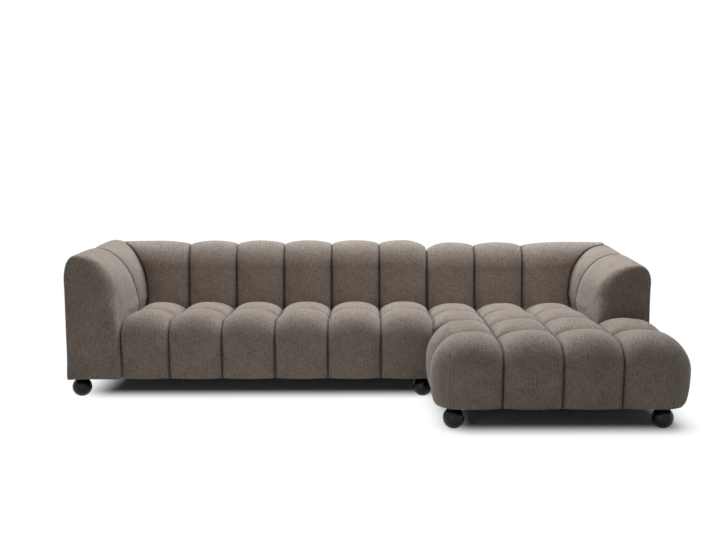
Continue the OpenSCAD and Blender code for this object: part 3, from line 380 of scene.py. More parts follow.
def makeQuiltTree():
    inputs = [(title, "Float", quilting[key]) for title, key in quiltInputs.items()]
    tree, given, results = newGroup(
        "sewnChannels", (("Geometry", "Geometry", None), *inputs, ("Cover", "Material", None)),
        (("Geometry", "Geometry"),), "GeometryNodeTree")
    maths = partial(calc, tree)
    field = partial(fieldOf, tree)

    def cubedDip(share, depth):
        # How deep a seam pulls the cloth in at this share of the way across a channel, cubed
        middle = maths("ABSOLUTE", maths("MULTIPLY_ADD", field(share), 2.0, -1.0))
        arch = maths("SUBTRACT", 1.0, maths("POWER", middle, given["Crown Power"]))
        crown = maths("POWER", maths("MAXIMUM", arch, 0.0), given["Crown Roundness"])
        dip = maths("MULTIPLY", maths("SUBTRACT", 1.0, crown), field(depth))
        return maths("POWER", maths("MAXIMUM", dip, 0.0), 3.0)

    def gathers(alongSeam, fromSeam, depth, offset):
        # Small puckers across a seam, dying out away from it
        place = addNode(tree, "ShaderNodeCombineXYZ", (
            maths("DIVIDE", field(alongSeam), given["Gather Pitch"]), maths("MULTIPLY", field(fromSeam), 9.0),
            maths("ADD", given["Seed"], offset))).outputs[0]
        wave = maths("SUBTRACT", noiseOf(tree, place, 1.0, 1.0), 0.5)
        away = maths("DIVIDE", field(fromSeam), given["Gather Reach"])
        fade = maths("EXPONENT", maths("MULTIPLY", away, -1.0))
        strength = maths("MINIMUM", maths("MULTIPLY", field(depth), 25.0), 1.0)
        return maths("MULTIPLY", maths("MULTIPLY", wave, fade), strength)

    def groove(fromSeam, depth):
        # The narrow fold in which the stitches lie
        near = maths("POWER", maths("DIVIDE", field(fromSeam), given["Groove Reach"]), 2.0)
        strength = maths("MINIMUM", maths("MULTIPLY", field(depth), 60.0), 1.0)
        return maths("MULTIPLY", maths("EXPONENT", maths("MULTIPLY", near, -1.0)), strength)

    dips = maths("ADD", cubedDip("acrossShare", "channelDepth"), cubedDip("alongShare", "rowDepth"))
    folded = maths("MAXIMUM", groove("fromChannelSeam", "channelDepth"), groove("fromRowSeam", "rowDepth"))
    dip = maths("MULTIPLY_ADD", folded, given["Groove Depth"], maths("POWER", dips, 1 / 3))
    puckers = maths("ADD", gathers("runAlong", "fromChannelSeam", "channelDepth", 0.0),
                    gathers("runAcross", "fromRowSeam", "rowDepth", 5.0))
    move = maths("SUBTRACT", maths("MULTIPLY", puckers, given["Gather Height"]), dip)
    offset = addNode(tree, "ShaderNodeVectorMath", {0: field("outward", "FLOAT_VECTOR"), "Scale": move},
                     operation="SCALE").outputs["Vector"]
    sewn = addNode(tree, "GeometryNodeSetPosition", {"Geometry": given["Geometry"], "Offset": offset})
    return endTree(tree, results, sewn.outputs[0], given["Cover"])


quiltTree = makeQuiltTree()


def setInput(modifier, title, value):
    for item in modifier.node_group.interface.items_tree:
        if item.item_type == "SOCKET" and item.in_out == "INPUT" and item.name == title:
            modifier[item.identifier] = value


def throughTree(piece, tree, inputs):
    # Runs the node tree on the piece and keeps the result as its plain mesh
    modifier = piece.modifiers.new("rule", "NODES")
    modifier.node_group = tree
    for title, value in inputs.items():
        setInput(modifier, title, value)
    depsgraph = bpy.context.evaluated_depsgraph_get()
    made = bpy.data.meshes.new_from_object(piece.evaluated_get(depsgraph), depsgraph=depsgraph)
    old = piece.data
    piece.modifiers.remove(modifier)
    piece.data = made
    bpy.data.meshes.remove(old)
    made.name = piece.name


def spacedShares(length, spacing):
    # Shares of a channel, closer together beside the seams
    crowding = 0.6
    steps = max(6, round(abs(length) / spacing))
    return [crowding * (1 - math.cos(math.pi * i / steps)) / 2 + (1 - crowding) * i / steps
            for i in range(steps + 1)]


def stations(seams, first, last, spacing):
    # Places across a run of channels; first and last say how much the end seams pull in
    out = []
    spans = len(seams) - 1
    for k in range(spans):
        width = seams[k + 1] - seams[k]
        for t in spacedShares(width, spacing)[0 if k == 0 else 1:]:
            share = first if k == 0 and t < 0.5 else (last if k == spans - 1 and t > 0.5 else 1.0)
            atEnd = (k == 0 and t < 0.5) or (k == spans - 1 and t > 0.5)
            out.append({"at": seams[k] + width * t, "share": t, "weight": share, "end": atEnd,
                        "gap": min(t, 1 - t) * abs(width)})
    return out


def arcCount(run, rise, spacing):
    # Steps round a quarter of an oval
    return round(math.pi / 4 * (run + rise) / spacing)


def roundedEdge(run, rise, tuck, top, spacing, counts=None):
    # An upright edge in section from the bottom up: inset, height, outward, upward.
    # counts are its steps below and above the widest place.
    wide = top - rise
    if counts is None:
        counts = max(3, round((wide - baseZ) / spacing)), max(5, arcCount(run, rise, spacing))
    lowSteps, highSteps = counts
    out = []
    for i in range(lowSteps):
        s = 1 - i / lowSteps
        out.append((tuck * (1 - math.sqrt(1 - s * s)), wide - s * (wide - baseZ), 1.0, 0.0))
    for i in range(highSteps + 1):
        a = math.radians(90 * i / highSteps)
        out.append((run * (1 - math.cos(a)), wide + rise * math.sin(a), math.cos(a), math.sin(a)))
    return out


def shareOfLength(points):
    lengths = np.r_[0, np.cumsum(np.linalg.norm(np.diff(points, axis=0), axis=1))]
    return lengths / lengths[-1]


def zipEdges(first, second, points):
    # Triangles between two edges, each given as a list of point numbers
    alongFirst = shareOfLength(points[first])
    alongSecond = shareOfLength(points[second])
    middles = (alongSecond[:-1] + alongSecond[1:]) / 2
    turns = [int(np.sum(alongFirst < middle)) for middle in middles]
    faces = []
    for i in range(len(first) - 1):
        k = sum(1 for t in turns if t < i + 0.5)
        faces.append((first[i + 1], first[i], second[k]))
    for k, t in enumerate(turns):
        faces.append((second[k], second[k + 1], first[t]))
    return faces


def gridFaces(rows, across, start, turned):
    faces = []
    for r in range(rows - 1):
        for c in range(across - 1):
            p = start + r * across + c
            q = p + across
            faces.append((p, p + 1, q + 1, q) if turned else (p, q, q + 1, p + 1))
    return faces


def closedGrid(outer, inner):
    # Points and faces of a shell between an outer grid and a coarse inner one
    n, m = outer.shape[:2]
    nn, mm = len(inner), len(inner[0])
    points = np.vstack([outer.reshape(-1, 3), np.array(inner, float).reshape(-1, 3)])
    start = n * m
    faces = gridFaces(n, m, 0, False) + gridFaces(nn, mm, start, True)
    faces += zipEdges([r * m for r in range(n)], [start + r * mm for r in range(nn)], points)
    faces += zipEdges(list(range(m - 1, -1, -1)), [start + c for c in range(mm - 1, -1, -1)], points)
    faces += zipEdges([r * m + m - 1 for r in range(n - 1, -1, -1)],
                      [start + r * mm + mm - 1 for r in range(nn - 1, -1, -1)], points)
    faces += zipEdges([(n - 1) * m + c for c in range(m)],
                      [start + (nn - 1) * mm + c for c in range(mm)], points)
    return points, faces


quiltFields = ("outward", "acrossShare", "alongShare", "channelDepth", "rowDepth", "runAcross", "runAlong",
               "fromChannelSeam", "fromRowSeam")


def pieceOf(mesh, material):
    mesh.materials.append(material)
    piece = bpy.data.objects.new(mesh.name, mesh)
    scene.collection.objects.link(piece)
    return piece


def newPiece(name, points, faces, material):
    mesh = bpy.data.meshes.new(name)
    mesh.from_pydata([tuple(p) for p in points], [], faces)
    return pieceOf(mesh, material)


def placesOf(mesh):
    places = np.empty(len(mesh.vertices) * 3)
    mesh.vertices.foreach_get("co", places)
    return places.reshape(-1, 3)


def setPlaces(mesh, places):
    mesh.vertices.foreach_set("co", places.reshape(-1))
    mesh.update()


def standFor(piece, node, body):
    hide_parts(node)
    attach(piece, body)


def subdivide(piece):
    finer = piece.modifiers.new("finer", "SUBSURF")
    finer.levels = finer.render_levels = 1


def faceOutwards(mesh):
    work = bmesh.new()
    work.from_mesh(mesh)
    bmesh.ops.recalc_face_normals(work, faces=work.faces)
    work.to_mesh(mesh)
    work.free()


clothSettings = {
    "quality": 4, "mass": 0.4, "tension_stiffness": 20, "compression_stiffness": 20, "shear_stiffness": 8,
    "bending_stiffness": 1.5, "tension_damping": 10, "compression_damping": 10, "air_damping": 2,
    "vertex_group_mass": "sewn", "pin_stiffness": 1, "use_pressure": True,
}


def inflate(piece, form, held, seamPlanes):
    # Cloth under pressure between the held seams; no point moves past the cap or over a seam
    before = placesOf(piece.data)
    group = piece.vertex_groups.new(name="sewn")
    group.add([int(i) for i in np.flatnonzero(held)], 1.0, "REPLACE")
    cloth = piece.modifiers.new("cloth", "CLOTH")
    for key, value in clothSettings.items():
        setattr(cloth.settings, key, value)
    cloth.settings.uniform_pressure_force = form["pressure"]
    cloth.settings.shrink_min = form["spareCloth"]
    cloth.settings.effector_weights.gravity = 0
    cloth.collision_settings.use_collision = False
    cloth.collision_settings.use_self_collision = False
    for number in range(1, form["frames"] + 1):
        scene.frame_set(number)
    move = placesOf(piece.evaluated_get(bpy.context.evaluated_depsgraph_get()).data) - before
    piece.modifiers.remove(cloth)
    piece.vertex_groups.remove(group)
    scene.frame_set(1)
    far = np.linalg.norm(move, axis=1)
    after = before + move * (form["cap"] * np.tanh(far / form["cap"]) / np.maximum(far, 1e-9))[:, None]
    for axis, planes in seamPlanes:
        bounded = np.array([-9.0, *planes, 9.0])
        side = np.searchsorted(planes, before[:, axis])
        lowSide, highSide = bounded[side], bounded[side + 1]
        margin = np.minimum(before[:, axis] - lowSide, highSide - before[:, axis])
        margin = np.minimum(form["seamMargin"], margin)
        after[:, axis] = np.clip(after[:, axis], lowSide + margin, highSide - margin)
    print(f"  {piece.name}: {len(far)} points, furthest {far.max() * 1000:.1f} mm,",
          f"mean {far.mean() * 1000:.1f} mm")
    setPlaces(piece.data, after)


def foldRims(mesh, outerCount, n, m, crease):
    # The edge where the cover folds round to its lining stays crisp
    rim = np.zeros(len(mesh.vertices), bool)
    onRim = np.zeros((n, m), bool)
    onRim[0, :] = onRim[-1, :] = onRim[:, 0] = onRim[:, -1] = True
    rim[:outerCount] = onRim.reshape(-1)
    ends = np.empty(len(mesh.edges) * 2, int)
    mesh.edges.foreach_get("vertices", ends)
    ends = ends.reshape(-1, 2)
    r, c = ends // m, ends % m
    onSide = (((r[:, 0] == r[:, 1]) & ((r[:, 0] == 0) | (r[:, 0] == n - 1)))
              | ((c[:, 0] == c[:, 1]) & ((c[:, 0] == 0) | (c[:, 0] == m - 1))))
    folded = rim[ends].all(axis=1) & onSide
    mesh.attributes.new("crease_edge", "FLOAT", "EDGE").data.foreach_set("value", folded * crease)
    mesh.edges.foreach_set("use_edge_sharp", folded)


def layWeave(mesh, grid, flatAxis):
    # The weave follows the runs along the cloth
    spread = np.zeros((len(mesh.vertices), 2))
    for k, run in enumerate(("runAcross", "runAlong")):
        spread[:grid[run].size, k] = grid[run].reshape(-1)
    ends = np.empty(len(mesh.loops), int)
    mesh.loops.foreach_get("vertex_index", ends)
    spread = spread[ends]
    if flatAxis is not None:
        # A cap lies flat, so its weave follows the other two directions
        flatFrom = 0.75
        others = [axis for axis in range(3) if axis != flatAxis]
        for polygon in mesh.polygons:
            if abs(polygon.normal[flatAxis]) > flatFrom:
                for k in polygon.loop_indices:
                    spread[k] = [mesh.vertices[ends[k]].co[axis] for axis in others]
    mesh.uv_layers.new(name="clothPlace").data.foreach_set("uv", spread.reshape(-1))


def makePad(name, node, body, grid, inner, form, seamPlanes, lean=None, flatAxis=None, still=None):
    # grid holds the arrays of quiltFields and "place". lean moves the sewn places, and still marks
    # the ones that the cloth can't move.
    n, m = grid["place"].shape[:2]
    outerCount = n * m
    points, faces = closedGrid(grid["place"], inner)
    piece = newPiece(name, points, faces, upholstery)
    for field in quiltFields:
        width = 3 if field == "outward" else 1
        values = np.zeros((len(points), width))
        values[:outerCount] = grid[field].reshape(outerCount, width)
        attribute = piece.data.attributes.new(field, "FLOAT_VECTOR" if width == 3 else "FLOAT", "POINT")
        attribute.data.foreach_set("vector" if width == 3 else "value", values.reshape(-1))
    inputs = {title: form[key] for title, key in quiltInputs.items()}
    throughTree(piece, quiltTree, {**inputs, "Cover": upholstery})
    mesh = piece.data
    rowGap = np.where(grid["rowDepth"] > 0, grid["fromRowSeam"], 1)
    crownGap = np.minimum(np.where(grid["channelDepth"] > 0, grid["fromChannelSeam"], 1), rowGap)
    free = crownGap > 1e-5
    free[0, :] = free[-1, :] = free[:, 0] = free[:, -1] = False
    if still is not None:
        free &= ~still
    held = np.ones(len(points), bool)
    held[:outerCount] = ~free.reshape(-1)
    if lean:
        places = placesOf(mesh)
        places[:outerCount] = lean(places[:outerCount].reshape(n, m, 3)).reshape(-1, 3)
        setPlaces(mesh, places)
    faceOutwards(mesh)
    inflate(piece, form, held, seamPlanes)
    layWeave(mesh, grid, flatAxis)
    # Painted shade: the cover's colour is darkened in its seams and in the folds between rows, where shade
    # falls
    seam = np.exp(-(crownGap / form["seamWidth"]) ** 1.5) * form["seamPaintedShade"]
    deep = np.minimum(1, grid["rowDepth"] / form["foldDepth"])
    fold = np.exp(-(rowGap / form["foldWidth"]) ** 2) * form["foldPaintedShade"] * deep
    shade = np.zeros(len(points))
    shade[:outerCount] = (1 - (1 - seam) * (1 - fold)).reshape(-1)
    mesh.attributes.new("paintedSeamShade", "FLOAT", "POINT").data.foreach_set("value", shade)
    for field in quiltFields:
        mesh.attributes.remove(mesh.attributes[field])
    foldRims(mesh, outerCount, n, m, form["rimCrease"])
    mesh.polygons.foreach_set("use_smooth", [True] * len(mesh.polygons))
    subdivide(piece)
    standFor(piece, node, body)


def measureRuns(grid):
    # Distances along the cloth; those across start in the middle, so that the weave stays upright there
    steps = np.linalg.norm(np.diff(grid["place"], axis=1), axis=2)
    grid["runAlong"][:, 1:] = np.cumsum(steps, axis=1)
    steps = np.linalg.norm(np.diff(grid["place"], axis=0), axis=2)
    grid["runAcross"][1:] = np.cumsum(steps, axis=0)
    grid["runAcross"] -= grid["runAcross"][len(grid["runAcross"]) // 2].copy()


def emptyGrid(n, m):
    # Places that no seam reaches yet
    grid = {f: np.zeros((n, m)) for f in quiltFields}
    grid["outward"] = np.zeros((n, m, 3))
    grid["place"] = np.zeros((n, m, 3))
    grid["acrossShare"][:] = grid["alongShare"][:] = 0.5
    grid["fromChannelSeam"][:] = grid["fromRowSeam"][:] = 1.0
    return grid


gridKeys = ("place", "outward", "channelDepth", "rowDepth", "alongShare", "fromRowSeam")


def gridOf(across, along, placeOf):
    # across are stations and along are steps; placeOf gives a place, an outward direction and two depths
    grid = emptyGrid(len(across), len(along))
    for i, s in enumerate(across):
        grid["acrossShare"][i] = s["share"]
        grid["fromChannelSeam"][i] = s["gap"]
        for j, mark in enumerate(along):
            values = placeOf(s, mark) + (mark["share"], mark["gap"])
            for key, value in zip(gridKeys, values):
                grid[key][i, j] = value
    measureRuns(grid)
    return grid


# Measures that the pads share, taken from the frame

rowDepth = (backY - low("sofa_seat_pad").y) / 2
channelWidth = (high("chaise_seat_pad").x - breakX) / 3
sofaSeams = ([low("sofa_seat_pad").x] + [breakX - k * channelWidth for k in range(5, 0, -1)]
             + [high("sofa_seat_pad").x])
chaiseSeams = [low("chaise_seat_pad").x, breakX + channelWidth, breakX + 2 * channelWidth,
               high("chaise_seat_pad").x]
seatFront = backY - 2 * rowDepth
frontWall = low("sofa_front_rail").y - softGap       # inside of the front foam
panelY = low("sofa_back_panel").y - softGap          # inside of the back foam
rearWall = high("sofa_rear_rail").y + softGap        # inside of the rear foam

seatForm = {
    **quilting, "crownRoundness": 0.76, "channelDip": 0.060, "rowDip": 0.064, "frontDip": 0.022,
    "frontRun": 0.130, "frontRise": 0.120, "frontTuck": 0.016,
    "frontDrop": 0.003, "rearDrop": 0.024,      # how far the crowns lie under the top of the frame's pads
    "sideLift": 0.0,
}
chaiseSeatForm = {**seatForm, "frontDrop": 0.014, "rearDrop": 0.034, "sideLift": 0.010}


def crownZ(form, y):
    # The seat falls a little towards the back
    share = min(1, max(0, (y - seatFront) / (backY - seatFront)))
    return seatTop - form["frontDrop"] - (form["rearDrop"] - form["frontDrop"]) * share


def lifted(form, x, y):
    # The front of the chaise rises a little from the break to its outer side
    across = min(1, max(0, (x - breakX - channelWidth) / channelWidth))
    along = min(1, max(0, (backY - y) / rowDepth - 0.5))
    return form["sideLift"] * across * across * (3 - 2 * across) * along


def step(place, outward, channelDepth=0.0, rowDepth=0.0, share=0.5, gap=1.0, end=None):
    # One place along a section; end is the depth of the seam at an open end
    return {"place": place, "outward": outward, "channelDepth": channelDepth, "rowDepth": rowDepth,
            "share": share, "gap": gap, "end": channelDepth if end is None else end}


def frontDepth(form, upward):
    return form["frontDip"] + (form["channelDip"] - form["frontDip"]) * upward


def seatSteps(form, rows, rounded):
    # Section of a seat: its top, and before it the front edge from the bottom up, if that is rounded
    steps = []
    if rounded:
        for inset, z, outward, upward in roundedEdge(form["frontRun"], form["frontRise"], form["frontTuck"],
                                                     crownZ(form, rows[0]), form["spacing"]):
            steps.append(step((rows[0] + inset, z), (-outward, upward), frontDepth(form, upward)))
    for s in stations(rows, 0 if rounded else 1, 1, form["spacing"]):
        if not steps or s["at"] > steps[-1]["place"][0] + form["spacing"] / 2:
            steps.append(step((s["at"], crownZ(form, s["at"])), (0, 1), form["channelDip"],
                              form["rowDip"] * s["weight"], s["share"], s["gap"]))
    return steps


def makeSeat(name, node, body, seams, rows, rounded, lining, form):
    # rows are the places of the row seams, and lining is the inside in section
    def placeOf(s, along):
        y, z = along["place"]
        return ((s["at"], y, z + lifted(form, s["at"], y)), (0, *along["outward"]),
                along["channelDepth"] * s["weight"], along["rowDepth"])

    grid = gridOf(stations(seams, 1, 1, form["spacing"]), seatSteps(form, rows, rounded), placeOf)
    inner = [[(x, y, z) for y, z in lining] for x in seams]
    makePad(name, node, body, grid, inner, form, [(0, seams), (1, rows[1:] if rounded else rows)])


# Front of the chaise: top, front and both sides in one, with round corners

chaiseFrontForm = {
    **chaiseSeatForm, "frontRun": 0.135, "frontRise": 0.130, "frontTuck": 0.018,
    "sideRun": 0.150, "sideRise": 0.185, "sideDip": 0.034, "lowFade": 0.6,
    "leftTuck": 0.024, "rightTuck": 0.030,
    "slopeRun": 0.300, "leftFall": 0.020, "rightFall": 0.036,      # the top falls towards both sides
    "leftInset": 0.019, "rightInset": 0.008,
    "lowSteps": 17, "highSteps": 22, "clear": 0.005, "coverThick": 0.006,
}


def makeChaiseFront(form):
    lowSteps, highSteps = counts = form["lowSteps"], form["highSteps"]
    folds = lowSteps + highSteps
    top = crownZ(form, seatFront)

    def edgeDown(kind, tuck):
        # The edge in section from the top down
        return roundedEdge(form[kind + "Run"], form[kind + "Rise"], form[tuck], top, form["spacing"],
                           counts)[::-1]

    sides = {-1: edgeDown("side", "leftTuck"), 1: edgeDown("side", "rightTuck")}
    front = edgeDown("front", "frontTuck")
    left = low("chaise_front_pad").x + form["leftInset"]
    right = high("chaise_front_pad").x - form["rightInset"]
    frontY = low("chaise_front_pad").y
    leftTop, rightTop, frontTop = left + form["sideRun"], right - form["sideRun"], frontY + form["frontRun"]
    rear = seatFront - softGap
    seams = [breakX + k * channelWidth for k in range(5)]
    clear = form["clear"]
    across = [s for s in stations(seams, 0, 0, form["spacing"])
              if leftTop + clear < s["at"] < rightTop - clear]
    rows = [s for s in stations([rear, seatFront - rowDepth, frontY], 1, 0, form["spacing"])
            if s["at"] > frontTop + clear]
    n = 2 * (folds + 1) + len(across)
    grid = emptyGrid(n, len(rows) + 1 + folds)
    columns = rows + [{"at": frontTop, "share": 0.5, "weight": 0.0, "gap": 1.0}]

    def topPlace(s, down, y):
        # Over the top, and down the front between the corners
        inset, z, outward, upward = front[down]
        return ((s["at"], frontY + inset if down else y["at"], z), (0, -outward if down else 0, upward),
                frontDepth(form, upward) * s["weight"], 0 if down else form["rowDip"] * y["weight"])

    def sidePlace(sign, fold, y):
        inset, z, outward, upward = sides[sign][fold]
        fade = 1 - form["lowFade"] * max(0, fold - highSteps) / lowSteps
        depth = (form["sideDip"] + (form["rowDip"] - form["sideDip"]) * upward) * fade
        x = left + inset if sign < 0 else right - inset
        return (x, y["at"], z), (sign * outward, 0, upward), 0, depth * y["weight"]

    def cornerPlace(sign, fold, down):
        # A quarter turn from the side to the front at each level
        level = max(fold, down)
        share = down / (2 * level) if fold >= down else 1 - fold / (2 * level)
        turn = math.radians(90 * share)
        sideAt, frontAt = sides[sign][level], front[level]
        x = (leftTop if sign < 0 else rightTop) + sign * (form["sideRun"] - sideAt[0]) * math.cos(turn)
        y = frontTop - (form["frontRun"] - frontAt[0]) * math.sin(turn)
        z = sideAt[1] + (frontAt[1] - sideAt[1]) * share
        return (x, y, z), (sign * math.cos(turn), -math.sin(turn), 0), 0, 0

    for i, j in np.ndindex(n, len(rows) + 1 + folds):
        fold = folds - i if i <= folds else max(0, i - (n - 1 - folds))
        sign = -1 if i <= folds else 1
        down = max(0, j - len(rows))
        y = columns[min(j, len(rows))]
        grid["alongShare"][i, j], grid["fromRowSeam"][i, j] = y["share"], y["gap"]
        if folds < i < n - 1 - folds:
            s = across[i - folds - 1]
            grid["acrossShare"][i, j], grid["fromChannelSeam"][i, j] = s["share"], s["gap"]
            values = topPlace(s, down, y)
        else:
            values = cornerPlace(sign, fold, down) if down else sidePlace(sign, fold, y)
        for key, value in zip(gridKeys, values):
            grid[key][i, j] = value
    measureRuns(grid)
    for place in grid["place"].reshape(-1, 3):
        x, y, z = place
        share = min(1, max(0, (z - padZ) / (top - padZ)))
        falls = (form["leftFall"] * max(0, 1 - (x - left) / form["slopeRun"]) ** 2
                 + form["rightFall"] * max(0, 1 - (right - x) / form["slopeRun"]) ** 2)
        place[2] = z + share * (lifted(form, x, y) - falls)

    leftIn = low("chaise_end_cover").x + form["coverThick"] - softGap
    rightIn = high("chaise_front_rail").x + softGap
    frontIn = low("chaise_front_rail").y - softGap
    nick, mid = 0.0005, 0.0001        # keep the lining's corners apart

    def lowRow(x, inward):
        return [(x, rear, baseZ), (x, frontIn + nick, baseZ), (x + inward * mid, frontIn + mid, baseZ)]

    inner = [lowRow(leftIn, 1)]
    for x, shift in [(leftIn, nick)] + [(x, 0) for x in seams[1:4]] + [(rightIn, -nick)]:
        inner.append([(x, rear, padZ), (x, frontIn, padZ), (x + shift, frontIn, baseZ)])
    inner.append(lowRow(rightIn, -1))
    makePad("chaise_front_cushion", "chaise_front_pad", "chaise_module", grid, inner, form,
            [(0, seams[1:4]), (1, [seatFront - rowDepth, rear])])


# Border under the right arm

borderForm = {
    **quilting, "run": 0.120, "rise": 0.175, "tuck": 0.025, "dip": 0.014, "drop": 0.040, "rim": 0.006,
}


def makeBorder(form):
    lowest, highest = low("chaise_side_border"), high("chaise_side_border")
    section = roundedEdge(form["run"], form["rise"], form["tuck"], seatTop - form["drop"], form["spacing"])
    edge = [e for e in section if e[1] < highest.z and highest.x - e[0] > lowest.x + form["rim"]]
    seams = [lowest.y, backY - rowDepth, backY, highest.y]
    steps = [step((inset, z), (outward, 0), form["dip"]) for inset, z, outward, upward in edge]

    def placeOf(s, along):
        inset, z = along["place"]
        return (highest.x - inset, s["at"], z), (along["outward"][0], 0, 0), along["channelDepth"], 0.0

    inner = [[(lowest.x, y, baseZ), (lowest.x, y, edge[-1][1] - form["rim"])] for y in seams]
    makePad("chaise_side_cushion", "chaise_side_border", "chaise_module",
            gridOf(stations(seams, 1, 1, form["spacing"]), steps, placeOf), inner, form, [(1, seams)])


# Backs, from the bottom of the front over the top to the bottom of the rear

backForm = {
    **quilting, "dip": 0.035, "topDip": 0.022, "rearDip": 0.014, "endDip": 0.049,
    "lean": 0.035, "round": 0.154, "crownY": 0.150, "rearSpacing": 0.018,
    "armWeight": 0.8, "armTop": 0.15, "armClear": 0.003,
    "hemFrom": 0.8, "hemInset": 0.008, "hemFade": 0.75,
}


def backSteps(form, top):
    depth, crown = rearY - backY, form["crownY"]
    shoulder = top - form["round"]

    def over(a, side, reach, dip):
        # A place on the rounded top: side is -1 before the crown and 1 behind it
        up, out = math.sin(a), math.cos(a)
        return step((crown + side * reach * out, shoulder + form["round"] * up), (side * out, up),
                    dip + (form["topDip"] - dip) * up, end=dip + (form["endDip"] - dip) * up)

    frontReach, rearReach = crown - form["lean"], depth - crown
    lowSteps = round((shoulder - padZ) / form["spacing"])
    steps = [step((form["lean"] * i / lowSteps, padZ + (shoulder - padZ) * i / lowSteps), (-1, 0),
                  form["dip"]) for i in range(lowSteps)]
    count = arcCount(frontReach, form["round"], form["spacing"])
    steps += [over(math.radians(90 * i / count), -1, frontReach, form["dip"]) for i in range(count + 1)]
    count = arcCount(rearReach, form["round"], form["spacing"])
    steps += [over(math.radians(90 - 90 * i / count), 1, rearReach, form["rearDip"])
              for i in range(1, count + 1)]
    lowSteps = round((shoulder - baseZ) / form["rearSpacing"])
    for i in range(1, lowSteps + 1):
        share = i / lowSteps
        inset = form["hemInset"] * max(0, share - form["hemFrom"]) / (1 - form["hemFrom"])
        steps.append(step((depth - inset, shoulder + (baseZ - shoulder) * share), (1, 0),
                          form["rearDip"] * (1 - form["hemFade"] * share), end=form["rearDip"]))
    return steps


# Measures of the arms; the ends of the backs follow them
armForm = {
    **quilting, "crownRoundness": 0.50, "peak": 0.067, "power": 2.2, "outerBend": 0.600, "innerBend": 0.535,
    "lowZ": 0.400, "footZ": 0.262, "innerTuck": 0.020, "lowTuck": 0.008,
    "outerDip": 0.010, "topDip": 0.013, "innerDip": 0.026, "footDip": 0.010,
    "seam": 0.150, "seamSway": 0.045, "swayMiddle": 0.570, "swayHeight": 0.160, "swayReach": 0.190,
    "plump": 0.019, "plumpHeights": (0.380, 0.440, 0.520, 0.660), "plumpFrom": 0.250,
    "outerRound": 0.012, "topRound": 0.017, "innerRound": 0.056, "lowRound": 0.022, "rearRound": 0.040,
    "turns": 7, "capSteps": 26, "capTuck": 0.010, "rimInset": 0.040, "liningInset": 0.020,
    "liningReach": 0.004, "wallGap": 0.0014, "zoneGap": 0.001, "outerStretch": 1.4, "arcShare": 0.8,
    "leftRise": 0.005, "rightRise": 0.032, "rearFall": 0.975,
}


def fallShare(y):
    # How much of its height over the shoulder a top keeps behind the crown of the back
    past = np.clip((y - backY - backForm["crownY"]) / (rearY - backY - backForm["crownY"]), 0, 1)
    return np.sqrt(1 - armForm["rearFall"] * past ** 2)


def plumpAt(y, z):
    # How far the inner face swells over the seat, from nothing at the front edge
    along = np.interp(y, [seatFront, backY - armForm["plumpFrom"]], [0, 1])
    return armForm["plump"] * along * np.interp(z, armForm["plumpHeights"], [0, 1, 1, 0])


def armFace(z, top, width):
    # How far the inner face of an arm lies from its outer one at a height
    innerSide = width - armForm["innerTuck"]
    share = np.clip((z - armForm["innerBend"]) / (top - armForm["innerBend"]), 0, 1)
    power = armForm["power"]
    upper = armForm["peak"] + (innerSide - armForm["peak"]) * (1 - share ** power) ** (1 / power)
    lower = np.interp(z, [armForm["footZ"], armForm["lowZ"], armForm["innerBend"]],
                      [width, width - armForm["lowTuck"], innerSide])
    return np.where(z > armForm["innerBend"], upper, lower)


def makeBack(name, node, body, seams, armSide, arm, form):
    # arm is the node of the arm pad beside it, the height of its top and its rise towards the rear
    top = high(node).z
    armSeam, armEnd = (seams[1], seams[0]) if armSide < 0 else (seams[-2], seams[-1])
    armNode, armTop, armRise = arm
    armWidth = high(armNode).x - low(armNode).x
    shoulder = armForm["outerBend"]

    def shift(y, z):
        # How far the end of the back reaches out over the rounded arm
        height = armTop + armRise * (y - seatFront) / (rearY - seatFront)
        unfallen = np.where(z > shoulder, shoulder + (z - shoulder) / fallShare(y), z)
        face = armFace(unfallen, height, armWidth) + plumpAt(y, z)
        return np.maximum(-plumpAt(y, z), armWidth - face - form["armClear"])

    def share(x):
        return np.maximum(0, (x - armSeam) / (armEnd - armSeam))

    def lean(places):
        last = places[0] if armSide < 0 else places[-1]
        places[:, :, 0] += armSide * shift(last[:, 1], last[:, 2])[None] * share(places[:, :, 0])
        return places

    def placeOf(s, along):
        y, z = along["place"]
        outY, outZ = along["outward"]
        nearArm = abs(s["at"] - armEnd) < abs(s["at"] - (seams[-1] if armSide < 0 else seams[0]))
        depth = along["end"] if s["end"] and not nearArm else along["channelDepth"]
        if s["end"] and nearArm:
            depth *= 1 - (1 - form["armTop"]) * max(0, outZ)
        return (s["at"], backY + y, z), (0, outY, outZ), depth * s["weight"], 0.0

    weights = (form["armWeight"], 1) if armSide < 0 else (1, form["armWeight"])
    grid = gridOf(stations(seams, *weights, form["spacing"]), backSteps(form, top), placeOf)
    frameTop = high(node.replace("_pad", "_top_rail")).z + softGap
    inner = []
    for x in seams:
        far = float(x + armSide * shift(panelY, frameTop) * share(x))
        inner.append([(x, panelY, padZ), (far, panelY, frameTop), (far, rearWall, frameTop),
                      (x, rearWall, padZ), (x, rearWall, baseZ)])
    makePad(name, node, body, grid, inner, form, [(0, seams), (1, [backY])], lean=lean)


# Arms: a front cap, rings along the arm and a rear cap

